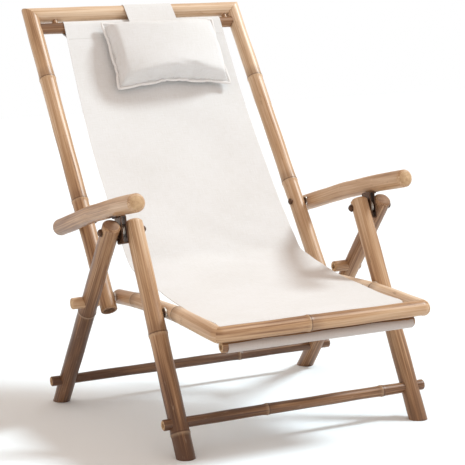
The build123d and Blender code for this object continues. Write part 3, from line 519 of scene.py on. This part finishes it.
def make_culm(name, points, radius, nodes, tone):
    """Grown culm on its CAD solid: a ring and a slight swelling at each node, and uneven between them."""
    mesh = ringed_mesh(name, points, nodes)
    bent, smooth = nodes is None, name in SMOOTH_CULMS
    if bent:
        nodes = tuple(np.cumsum([math.dist(p, q) for p, q in zip(points, points[1:])])[:-1])
    co = points_of(mesh)
    s, uv, axis, length = along_axis(co, points)
    r = np.linalg.norm(uv, axis=1)
    angle = np.arctan2(uv[:, 1], uv[:, 0])
    gap = node_gap(s, nodes)
    ringed = (np.abs(gap) < RING_REACH) & (r > 0.985 * radius)
    ring = RING_RISE * np.exp(-(((gap - RING_PLACE) / RING_WIDTH) ** 2))
    ring -= SCAR_DEPTH * np.exp(-((gap / SCAR_WIDTH) ** 2))
    if smooth:
        ring = np.zeros(len(co))
        gap = np.full(len(co), NO_NODE)
    phase = RNG.uniform(0, 2 * math.pi, 6)
    uneven = 0.00022 * np.sin(s * 31 + phase[0]) * np.cos(angle + phase[1])
    uneven += 0.00018 * np.sin(s * 57 + phase[2]) + 0.00015 * np.cos(2 * angle + s * 14 + phase[3])
    swell = 0.0 if bent else SWELL_RISE * np.exp(-((gap / SWELL_WIDTH) ** 2))
    outer = np.clip((r - 0.82 * radius) / (0.15 * radius), 0, 1)
    ends = np.clip(np.minimum(s, length - s) / END_FADE, 0, 1)
    grow = (uneven * ends + swell) * outer
    if smooth or not bent:
        grow = grow + np.where(ringed, radius + ring - r, 0.0)
    radial = co - axis_middle(co, points, axis)
    radial /= np.maximum(np.linalg.norm(radial, axis=1), 1e-9)[:, None]
    foot = np.clip(co[:, 2] / FOOT_FADE, 0, 1)
    co = co + radial * (grow * foot)[:, None]
    if name in CORNER_CULMS:
        co = round_corners(co)
    mesh.vertices.foreach_set("co", co.ravel())
    mesh.update()
    fibre = np.stack([uv[:, 0] + phase[4], uv[:, 1] + phase[5], s + phase[0]], 1)
    store(mesh, "fibre", "FLOAT_VECTOR", fibre)
    store(mesh, "node_gap", "FLOAT", gap)
    store(mesh, "tone", "FLOAT", np.interp(s, (0, length), tone) + 0.08 * np.sin(s * 9 + phase[1]))
    # Stiles and rear legs get the darker sawn ends: painted shade
    paint_culm(mesh, CUT_DARK if name in SHADED_END_CULMS else CUT, axis, r, radius)
    obj = link(bpy.data.objects.new(name + "_culm", mesh))
    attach(obj, BODY_OF[name])
    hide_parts(name)


for name, (points, radius, nodes, tone) in CULMS.items():
    make_culm(name, points, radius, nodes, tone)

# Canvas sling, one sheet from the hem on the upper rod to the hem on the lower one
CLOTH_T = 0.0012
BACK_SLEEVE = 0.0131
SEAT_SLEEVE = 0.0116
TOP_FALL, LOW_FALL, REAR_FALL, FRONT_FALL = (math.radians(a) for a in (60.5, 48.0, 13.0, 1.5))
BACK_ARC = 0.57913
SEAT_ARC = 0.38387
SLING_BEND_R = 0.060
SLING_HEM_R = 0.030
SLING_HEM_DROP = 0.004
BACK_HEM, SEAT_HEM = 0.036, 0.022
# How far a hem's end lies inside its sleeve's face
BACK_HEM_IN, SEAT_HEM_IN = 0.0020, 0.0022
PATH_STEP, BEND_STEP, SLEEVE_STEP = 0.006, 0.004, 0.003
CLOTH_SHARP = math.radians(50)


def heading(angle):
    return np.array([math.cos(angle), math.sin(angle)])


def arc_points(start, angle, radius, turn, step=PATH_STEP):
    """Points along an arc that leaves start at an angle; turn is positive to the left."""
    side = math.copysign(1, turn)
    centre = start + radius * heading(angle + side * math.pi / 2)
    count = max(3, round(abs(turn) * radius / step))
    turns = [turn * i / count for i in range(1, count + 1)]
    return [centre + radius * heading(angle - side * math.pi / 2 + t) for t in turns]


def line_points(start, end, step=PATH_STEP):
    count = max(1, round(np.linalg.norm(end - start) / step))
    return [start + (end - start) * i / count for i in range(1, count + 1)]


def eased(t):
    return t * t * (3 - 2 * t)


def sling_path():
    """Side view line of the canvas, with the indices of its top and of its bend's start and end."""
    up, front = heading(TOP_FALL), heading(math.pi / 2 + TOP_FALL)
    path = []
    for i in range(7):
        t = i / 6
        across_rod = (BACK_SLEEVE - BACK_HEM_IN) * (1 - eased(t)) - BACK_SLEEVE * eased(t)
        path.append(BACK_ROD + front * across_rod - up * BACK_HEM * (1 - t))
    path += arc_points(path[-1], TOP_FALL, BACK_SLEEVE, math.pi, SLEEVE_STEP)
    top = len(path) - 1
    back_turn = TOP_FALL - LOW_FALL
    path += arc_points(path[-1], math.pi + TOP_FALL, BACK_ARC / back_turn, -back_turn)
    bend_start = len(path) - 1
    path += arc_points(path[-1], math.pi + LOW_FALL, SLING_BEND_R, REAR_FALL - LOW_FALL, BEND_STEP)
    bend_end = len(path) - 1
    seat_turn = REAR_FALL - FRONT_FALL
    path += arc_points(path[-1], math.pi + REAR_FALL, SEAT_ARC / seat_turn, -seat_turn)
    path += arc_points(path[-1], math.pi + FRONT_FALL, SLING_HEM_R, math.pi / 2 - FRONT_FALL, BEND_STEP)
    path += line_points(path[-1], path[-1] - np.array([0, SLING_HEM_DROP]), BEND_STEP)
    path += arc_points(path[-1], 1.5 * math.pi, SEAT_SLEEVE, -math.pi, SLEEVE_STEP)
    y, z = path[-1]
    for i in range(1, 6):
        t = i / 5
        path.append(np.array([y + (2 * SEAT_SLEEVE - SEAT_HEM_IN) * eased(t), z + SEAT_HEM * t]))
    return np.array(path), top, bend_start, bend_end


def lengths_along(path):
    return np.concatenate([[0], np.cumsum(np.linalg.norm(np.diff(path, axis=0), axis=1))])


def sheet_mesh(name, path, edges, lift, columns):
    """Closed thin sheet along a side view path, between edges(s). lift(s, u) moves it along its normal."""
    s = lengths_along(path)
    tangent = np.gradient(path, s, axis=0)
    tangent /= np.linalg.norm(tangent, axis=1)[:, None]
    normal = np.stack([tangent[:, 1], -tangent[:, 0]], 1)
    rows = len(path)
    s_grid, u_grid = np.meshgrid(s, np.linspace(0, 1, columns + 1), indexing="ij")
    x_left, x_right = (edge[:, None] for edge in edges(s))
    x_grid = x_left + (x_right - x_left) * u_grid
    h = lift(s_grid, u_grid)
    verts, cloth = [], []
    for face in (0.5, -0.5):
        offset = h + face * CLOTH_T
        y = path[:, 0][:, None] + normal[:, 0][:, None] * offset
        z = path[:, 1][:, None] + normal[:, 1][:, None] * offset
        verts.append(np.stack([x_grid, y, z], -1).reshape(-1, 3))
        cloth.append(np.stack([x_grid, s_grid, np.zeros_like(s_grid)], -1).reshape(-1, 3))
    verts, cloth = np.concatenate(verts), np.concatenate(cloth)
    half = rows * (columns + 1)

    def at(i, j, face):
        return face * half + i * (columns + 1) + j

    end = rows - 1
    faces = []
    for i in range(end):
        for j in range(columns):
            faces.append((at(i, j, 0), at(i + 1, j, 0), at(i + 1, j + 1, 0), at(i, j + 1, 0)))
            faces.append((at(i, j, 1), at(i, j + 1, 1), at(i + 1, j + 1, 1), at(i + 1, j, 1)))
    for i in range(end):
        faces.append((at(i, 0, 0), at(i, 0, 1), at(i + 1, 0, 1), at(i + 1, 0, 0)))
        faces.append((at(i, columns, 0), at(i + 1, columns, 0), at(i + 1, columns, 1), at(i, columns, 1)))
    for j in range(columns):
        faces.append((at(0, j, 0), at(0, j + 1, 0), at(0, j + 1, 1), at(0, j, 1)))
        faces.append((at(end, j, 0), at(end, j, 1), at(end, j + 1, 1), at(end, j + 1, 0)))
    obj = new_object(name, verts, faces)
    face_outward(obj.data)
    store(obj.data, "cloth", "FLOAT_VECTOR", cloth)
    obj.data.set_sharp_from_angle(angle=CLOTH_SHARP)
    return obj


PATH, TOP_AT, BEND_AT, SEAT_AT = sling_path()
PATH_S = lengths_along(PATH)
SLING_LENGTH = float(PATH_S[-1])
BEND_S = float(PATH_S[BEND_AT])


# Side edges of the canvas, (s, left x, right x). It hangs a little to the right, and is narrower at the hems.
SLING_STATIONS = (
    (0, -0.174, 0.193),
    (PATH_S[TOP_AT], -0.174, 0.193),
    (PATH_S[TOP_AT] + 0.25, -0.184, 0.191),
    (PATH_S[BEND_AT], -0.186, 0.191),
    (PATH_S[SEAT_AT] + 0.12, -0.185, 0.188),
    (SLING_LENGTH - 0.08, -0.183, 0.187),
    (SLING_LENGTH, -0.181, 0.185),
)
EDGE_PASSES = 60


def sling_edges(s):
    """The stations' edges, smoothed along the canvas."""
    stations, left, right = zip(*SLING_STATIONS)
    edges = np.interp(s, stations, left), np.interp(s, stations, right)
    for _ in range(EDGE_PASSES):
        for edge in edges:
            edge[1:-1] = 0.25 * edge[:-2] + 0.5 * edge[1:-1] + 0.25 * edge[2:]
    return edges


TAUT_TOP, TAUT_FRONT, SLACK_FADE = 0.10, 0.11, 0.12
CREASE_REACH = 0.10


def sling_lift(s, u):
    """Slack of the hung canvas: broad waves, small creases near the bend, and none at the hems."""
    after_top = np.clip((s - TAUT_TOP) / SLACK_FADE, 0, 1)
    inside = after_top * np.clip((SLING_LENGTH - TAUT_FRONT - s) / SLACK_FADE, 0, 1)
    wave = 0.0012 * np.sin(11 * s + 3.1 * u) * np.cos(5.2 * u - 0.7)
    wave += 0.0007 * np.sin(23 * s - 9 * u + 1.2) + 0.0004 * np.sin(41 * s + 13 * u)
    bend = np.exp(-(((s - BEND_S) / CREASE_REACH) ** 2))
    crease = 0.0007 * np.sin(95 * (s + 0.05 * np.sin(5 * u))) * bend * (0.4 + 0.6 * np.abs(2 * u - 1))
    return (wave + crease) * inside


SLING_COLUMNS = 64
HEM_SHADE_LENGTH, HEM_SHADE_FADE = 0.100, 0.025
sling = sheet_mesh("sling", PATH, sling_edges, sling_lift, SLING_COLUMNS)
# Painted shade over the last stretch of the canvas, at its front hem
front_hem = np.clip((PATH_S - SLING_LENGTH + HEM_SHADE_LENGTH) / HEM_SHADE_FADE, 0, 1)
store(sling.data, "hem_shade", "FLOAT", np.tile(np.repeat(front_hem, SLING_COLUMNS + 1), 2))
sling.data.materials.append(CANVAS)
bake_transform(sling)
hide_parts("sling_seat", "sling_back")
SLING_WIDTH = float(np.mean(np.subtract(*sling_edges(PATH_S)[::-1])))

# Head pillow, sewn from two panels with a piped seam, and stuffed
PILLOW_X = 0.034
PILLOW_W = 0.266
PILLOW_H = 0.171
PILLOW_TOP = 0.043
PILLOW_SEAM = 0.0277
PILLOW_FRONT = 0.050
PILLOW_BACK = 0.0095
PILLOW_LEAN = math.radians(31.5)
PILLOW_SHARP = math.radians(70)
PIPING = 0.0030
PIPING_OUT = 0.7 * PIPING
PIPING_SIDES = 8
PANEL_W, PANEL_H = PILLOW_W - 2 * (PIPING + PIPING_OUT), PILLOW_H - 2 * (PIPING + PIPING_OUT)
PANEL_GAP, PANEL_PUFF = 0.0015, 0.010
# Share of its fullness that each row has, from the seam inwards
FLANGE = (0.0, 0.07, 0.50, 0.82, 0.96)
FULLNESS = 0.54
SEAM_INSET = 0.0036
SEAM_LIFT = 0.0022
STUFFING = {
    "quality": 6,
    "mass": 0.25,
    "tension_stiffness": 22,
    "compression_stiffness": 18,
    "shear_stiffness": 9,
    "bending_stiffness": 0.35,
    "use_pressure": True,
    "uniform_pressure_force": 5.0,
}
STUFFING_FRAMES = 28


def pillow_plane(x, up, out):
    """Point by the pillow: x across, up along its back from its top edge, out to the front."""
    edge = TOP_RAIL + STILE_FRONT * PILLOW_SEAM - STILE_UP * PILLOW_TOP
    p = edge + heading(math.pi / 2 - PILLOW_LEAN) * up + heading(math.pi - PILLOW_LEAN) * out
    return np.array([x, p[0], p[1]])


def pillow_panels(columns=60, rows=38):
    """Flat envelope in its own plane: two grids that share their rim, each a little apart from the other."""
    bm = bmesh.new()
    grid = {}
    for side in (1, -1):
        for i in range(columns + 1):
            for j in range(rows + 1):
                rim = i in (0, columns) or j in (0, rows)
                if rim and side == -1:
                    grid[side, i, j] = grid[1, i, j]
                    continue
                u, v = i / columns * 2 - 1, j / rows * 2 - 1
                full = max(0.0, (1 - u * u) * (1 - v * v))
                out = 0.0 if rim else side * (PANEL_GAP + PANEL_PUFF * math.sqrt(full))
                grid[side, i, j] = bm.verts.new((u * PANEL_W / 2, v * PANEL_H / 2, out))
    for side in (1, -1):
        for i in range(columns):
            for j in range(rows):
                corners = (i, j), (i + 1, j), (i + 1, j + 1), (i, j + 1)
                quad = [grid[side, a, b] for a, b in corners]
                bm.faces.new(quad if side == 1 else quad[::-1])
    ring = [(i, 0) for i in range(columns)] + [(columns, j) for j in range(rows)]
    ring += [(i, rows) for i in range(columns, 0, -1)] + [(0, j) for j in range(rows, 0, -1)]
    bm.verts.index_update()
    rim_ids = [grid[1, i, j].index for i, j in ring]
    flat = np.ones(len(bm.verts))
    for (side, i, j), vert in grid.items():
        inset = min(i, columns - i, j, rows - j)
        if inset < len(FLANGE):
            flat[vert.index] = FLANGE[inset]
    mesh = bpy.data.meshes.new("pillow_cloth")
    bm.to_mesh(mesh)
    bm.free()
    return mesh, rim_ids, flat


def stuffed(mesh):
    """Inflates the envelope with a cloth simulation and returns its points."""
    obj = link(bpy.data.objects.new("pillow_cloth", mesh))
    cloth = obj.modifiers.new("stuffing", "CLOTH")
    for key, value in STUFFING.items():
        setattr(cloth.settings, key, value)
    cloth.settings.effector_weights.gravity = 0
    cloth.collision_settings.use_collision = False
    for f in range(1, STUFFING_FRAMES + 1):
        scene.frame_set(f)
    shape = obj.evaluated_get(bpy.context.evaluated_depsgraph_get()).to_mesh()
    co = np.array([v.co for v in shape.vertices])
    obj.modifiers.remove(cloth)
    scene.frame_set(1)
    bpy.data.objects.remove(obj)
    return co


def shaped(co, rim, flat):
    """The stuffed envelope, centred, at its real size, and drawn in at the seam."""
    co[:, :2] -= (co[:, :2].max(0) + co[:, :2].min(0)) / 2
    co[:, 2] -= co[rim, 2].mean()
    size = co[:, :2].max(0) - co[:, :2].min(0)
    co[:, 0] *= PANEL_W / size[0]
    co[:, 1] *= PANEL_H / size[1]
    front = co[:, 2] > 0
    crown = co[:, 2].max()
    co[front, 2] = PILLOW_FRONT * (co[front, 2] / crown) ** FULLNESS
    co[~front, 2] *= PILLOW_BACK / max(1e-6, -co[:, 2].min())
    co[:, 2] *= flat
    return co


def piping(ring, out, first):
    """A round bead along the seam: its rings of points, and its faces, numbered from first."""
    count = len(ring)
    bead, faces = [], []
    for k in range(PIPING_SIDES):
        a = 2 * math.pi * k / PIPING_SIDES
        lift = np.array([0, 0, PIPING * math.sin(a)])
        bead.append(ring + out * (PIPING_OUT + PIPING * math.cos(a)) + lift)
        for i in range(count):
            j, m = (i + 1) % count, (k + 1) % PIPING_SIDES
            corners = (k * count + i, k * count + j, m * count + j, m * count + i)
            faces.append(tuple(first + c for c in corners))
    return bead, faces


def make_pillow():
    """Makes the pillow, and returns the line for the stitches along its seam."""
    mesh, rim, flat = pillow_panels()
    co = shaped(stuffed(mesh), rim, flat)
    ring = np.array([co[i] for i in rim])
    along = np.roll(ring, -1, 0) - np.roll(ring, 1, 0)
    out = np.stack([along[:, 1], -along[:, 0], np.zeros(len(ring))], 1)
    out /= np.linalg.norm(out, axis=1)[:, None]
    bead, bead_faces = piping(ring, out, len(co))
    verts = np.concatenate([co] + bead)
    place = [pillow_plane(PILLOW_X + x, y - PILLOW_H / 2, z) for x, y, z in verts]
    panels = [tuple(p.vertices) for p in mesh.polygons]
    obj = new_object("pillow", place, panels + bead_faces)
    face_outward(obj.data)
    store(obj.data, "cloth", "FLOAT_VECTOR", [(x, y, 0) for x, y, z in verts])
    obj.data.materials.append(CANVAS)
    obj.data.materials.append(PIPED)
    for polygon in obj.data.polygons:
        polygon.material_index = int(polygon.index >= len(panels))
    obj.data.set_sharp_from_angle(angle=PILLOW_SHARP)
    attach(obj, "back_frame")
    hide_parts("head_pillow")
    seam = ring - out * SEAM_INSET + np.array([0, 0, SEAM_LIFT])
    return [pillow_plane(PILLOW_X + x, y - PILLOW_H / 2, z) for x, y, z in seam]


PILLOW_SEAM_LINE = make_pillow()

# Strap from behind the pillow's top seam over the top rail and down behind the back
STRAP_MIDDLE, STRAP_HALF = 0.028, 0.056
STRAP_X = (STRAP_MIDDLE - STRAP_HALF, STRAP_MIDDLE + STRAP_HALF)
STRAP_OFF = 0.0011
STRAP_WRAP = TOP_RAIL_R + STRAP_OFF
STRAP_TAIL = 0.120
STRAP_TUCK = 0.013
STRAP_BEHIND = 0.0024
STRAP_COLUMNS = 24


def round_rail(angle):
    """Point of the strap on the top rail, from its front over its top to its rear."""
    return TOP_RAIL + STRAP_WRAP * (math.cos(angle) * STILE_FRONT + math.sin(angle) * STILE_UP)


def strap_path():
    """Side view line of the strap: straight to the rail, round it, and straight down behind it."""
    begin = pillow_plane(0, -STRAP_TUCK, -STRAP_BEHIND)[1:]
    reach = begin - TOP_RAIL
    touch = math.atan2(reach @ STILE_UP, reach @ STILE_FRONT)
    touch += math.acos(STRAP_WRAP / np.linalg.norm(reach))
    path = [begin] + line_points(begin, round_rail(touch))
    path += [round_rail(a) for a in np.linspace(touch, math.pi, 15)[1:]]
    path += line_points(path[-1], path[-1] - STILE_UP * STRAP_TAIL)
    return np.array(path)


STRAP_PATH = strap_path()


def strap_edges(s):
    return np.full(len(s), STRAP_X[0]), np.full(len(s), STRAP_X[1])


def strap_lift(s, u):
    """The strap is taut over the rail, and its tail behind is a little wavy."""
    return 0.0005 * np.sin(55 * s + 8 * u) * np.clip((s - 0.12) / 0.03, 0, 1)


strap = sheet_mesh("strap", STRAP_PATH, strap_edges, strap_lift, STRAP_COLUMNS)
strap.data.materials.append(CANVAS)
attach(strap, "back_frame")
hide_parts("pillow_strap")


# Stitches: the pillow's seam and the two hems of the canvas
def stitch_tree():
    """Geometry nodes that lay short threads along the edges of a mesh."""
    tree = bpy.data.node_groups.new("stitch_row", "GeometryNodeTree")
    tree.interface.new_socket("Geometry", in_out="INPUT", socket_type="NodeSocketGeometry")
    for name in ("Spacing", "Stitch Length", "Thread Radius"):
        tree.interface.new_socket(name, in_out="INPUT", socket_type="NodeSocketFloat")
    tree.interface.new_socket("Material", in_out="INPUT", socket_type="NodeSocketMaterial")
    tree.interface.new_socket("Geometry", in_out="OUTPUT", socket_type="NodeSocketGeometry")
    add, join = tree.nodes.new, tree.links.new
    given, end = add("NodeGroupInput"), add("NodeGroupOutput")
    curve = add("GeometryNodeMeshToCurve")
    spaced = add("GeometryNodeResampleCurve")
    spaced.mode = "LENGTH"
    thread = add("GeometryNodeMeshUVSphere")
    thread.inputs["Segments"].default_value = 8
    thread.inputs["Rings"].default_value = 5
    thread.inputs["Radius"].default_value = 1.0
    turn = add("FunctionNodeAlignRotationToVector")
    turn.axis = "X"
    half = add("ShaderNodeMath")
    half.operation = "MULTIPLY"
    half.inputs[1].default_value = 0.5
    size = add("ShaderNodeCombineXYZ")
    laid = add("GeometryNodeInstanceOnPoints")
    whole = add("GeometryNodeRealizeInstances")
    paint = add("GeometryNodeSetMaterial")
    join(given.outputs["Geometry"], curve.inputs["Mesh"])
    join(curve.outputs["Curve"], spaced.inputs["Curve"])
    join(given.outputs["Spacing"], spaced.inputs["Length"])
    join(add("GeometryNodeInputTangent").outputs["Tangent"], turn.inputs["Vector"])
    join(given.outputs["Stitch Length"], half.inputs[0])
    join(half.outputs[0], size.inputs["X"])
    join(given.outputs["Thread Radius"], size.inputs["Y"])
    join(given.outputs["Thread Radius"], size.inputs["Z"])
    join(spaced.outputs["Curve"], laid.inputs["Points"])
    join(thread.outputs["Mesh"], laid.inputs["Instance"])
    join(turn.outputs["Rotation"], laid.inputs["Rotation"])
    join(size.outputs["Vector"], laid.inputs["Scale"])
    join(laid.outputs["Instances"], whole.inputs["Geometry"])
    join(whole.outputs["Geometry"], paint.inputs["Geometry"])
    join(given.outputs["Material"], paint.inputs["Material"])
    join(paint.outputs["Geometry"], end.inputs["Geometry"])
    return tree


STITCH_TREE = stitch_tree()
STITCH_SIZES = {"Spacing": 0.0042, "Stitch Length": 0.0029, "Thread Radius": 0.0004, "Material": THREAD}


def stitches(name, rows, body):
    """One mesh of stitches for a body. Each row is a list of points, and whether it closes."""
    verts, edges = [], []
    for points, closed in rows:
        first, count = len(verts), len(points)
        verts += [tuple(p) for p in points]
        edges += [(first + i, first + (i + 1) % count) for i in range(count if closed else count - 1)]
    mesh = bpy.data.meshes.new(name + "_rows")
    mesh.from_pydata(verts, edges, [])
    guide = link(bpy.data.objects.new(name + "_rows", mesh))
    modifier = guide.modifiers.new("stitches", "NODES")
    modifier.node_group = STITCH_TREE
    for item in STITCH_TREE.interface.items_tree:
        if item.in_out == "INPUT" and item.name in STITCH_SIZES:
            modifier[item.identifier] = STITCH_SIZES[item.name]
    depsgraph = bpy.context.evaluated_depsgraph_get()
    made = bpy.data.meshes.new_from_object(guide.evaluated_get(depsgraph), depsgraph=depsgraph)
    made.name = name
    guide.modifiers.remove(modifier)
    bpy.data.objects.remove(guide)
    made.polygons.foreach_set("use_smooth", [True] * len(made.polygons))
    store(made, "cloth", "FLOAT_VECTOR", points_of(made))
    obj = link(bpy.data.objects.new(name, made))
    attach(obj, body)


HEM_INSET = 0.006
HEM_LIFT = CLOTH_T / 2 + 0.0002
ROW_POINTS = 40
ROW_FROM_EDGE = 0.004


def hem_row(at_s):
    """Points across the canvas at a distance along its path, lifted off its face."""
    i = int(np.searchsorted(PATH_S, at_s))
    along = PATH[i + 1] - PATH[i - 1]
    normal = np.array([along[1], -along[0]]) / np.linalg.norm(along)
    y, z = PATH[i] + normal * HEM_LIFT
    left, right = (edge[i] for edge in sling_edges(PATH_S))
    return [(x, y, z) for x in np.linspace(left + HEM_INSET, right - HEM_INSET, ROW_POINTS)]


TOP_ROW_S = float(PATH_S[TOP_AT]) + BACK_HEM - ROW_FROM_EDGE
FRONT_ROW_S = SLING_LENGTH - SEAT_HEM - math.pi * SEAT_SLEEVE - SLING_HEM_DROP / 2
stitches("back_stitches", [(PILLOW_SEAM_LINE, True), (hem_row(TOP_ROW_S), False)], "back_frame")
stitches("seat_stitches", [(hem_row(FRONT_ROW_S), False)], "seat_frame")


# Floor, light and camera
FLOOR_HALF = 14.0
FLOOR_COLOUR = (0.88, 0.95, 1.0, 1)
HORIZON_COLOUR = (1, 1, 1, 1)
OVERHEAD_COLOUR = (0.76, 0.635, 0.550, 1)
HORIZON_RISE = (0.05, 0.20)
KEY_PLACE, KEY_TARGET = (2.24, -0.50, 2.78), (0, 0, 0.4)
KEY_COLOUR = (0.86, 0.96, 1.0)
KEY_POWER = 2.75
KEY_SPREAD = math.radians(13.0)
CAMERA_PLACE = (-1.1870, -2.6594, 0.7096)
CAMERA_RIGHT = (0.90675, -0.41915, -0.04593)
CAMERA_UP = (0.09368, 0.09405, 0.99113)
CAMERA_BACK = (-0.41111, -0.90302, 0.12455)
CAMERA_LENS, CAMERA_SENSOR = 113.93, 36.0


def make_floor():
    corners = [(x * FLOOR_HALF, y * FLOOR_HALF, 0) for x, y in ((-1, -1), (1, -1), (1, 1), (-1, 1))]
    floor = new_object("floor", corners, [(0, 1, 2, 3)])
    s = Shader("floor")
    s.bsdf.inputs["Base Color"].default_value = FLOOR_COLOUR
    s.bsdf.inputs["Roughness"].default_value = 0.9
    floor.data.materials.append(s.material)


def key_light():
    data = bpy.data.lights.new("key", "SUN")
    data.color = KEY_COLOUR
    data.energy = KEY_POWER
    data.angle = KEY_SPREAD
    obj = link(bpy.data.objects.new("key", data))
    obj.location = KEY_PLACE
    obj.rotation_mode = "QUATERNION"
    obj.rotation_quaternion = (Vector(KEY_TARGET) - Vector(KEY_PLACE)).to_track_quat("-Z", "Y")


def studio_world():
    """Soft light from all round: white at the horizon, warmer and weaker overhead."""
    world = bpy.data.worlds.new("studio")
    scene.world = world
    world.use_nodes = True
    nodes, links = world.node_tree.nodes, world.node_tree.links
    split = nodes.new("ShaderNodeSeparateXYZ")
    links.new(nodes.new("ShaderNodeTexCoord").outputs["Generated"], split.inputs[0])
    rise = nodes.new("ShaderNodeMapRange")
    rise.interpolation_type = "SMOOTHSTEP"
    rise.inputs["From Min"].default_value, rise.inputs["From Max"].default_value = HORIZON_RISE
    links.new(split.outputs["Z"], rise.inputs["Value"])
    sky = nodes.new("ShaderNodeMix")
    sky.data_type = "RGBA"
    sky.inputs[MIX_FIRST].default_value = HORIZON_COLOUR
    sky.inputs[MIX_SECOND].default_value = OVERHEAD_COLOUR
    links.new(rise.outputs["Result"], sky.inputs[MIX_FACTOR])
    links.new(sky.outputs[MIX_RESULT], nodes["Background"].inputs["Color"])


def photo_camera():
    """The photograph's camera, solved from the chair's straight lines and its feet."""
    data = bpy.data.cameras.new("camera")
    data.sensor_width = CAMERA_SENSOR
    data.lens = CAMERA_LENS
    data.clip_start = 0.05
    camera = link(bpy.data.objects.new("camera", data))
    turn = Matrix((CAMERA_RIGHT, CAMERA_UP, CAMERA_BACK)).transposed().to_4x4()
    camera.matrix_world = Matrix.Translation(CAMERA_PLACE) @ turn
    scene.camera = camera


make_floor()
studio_world()
key_light()
photo_camera()
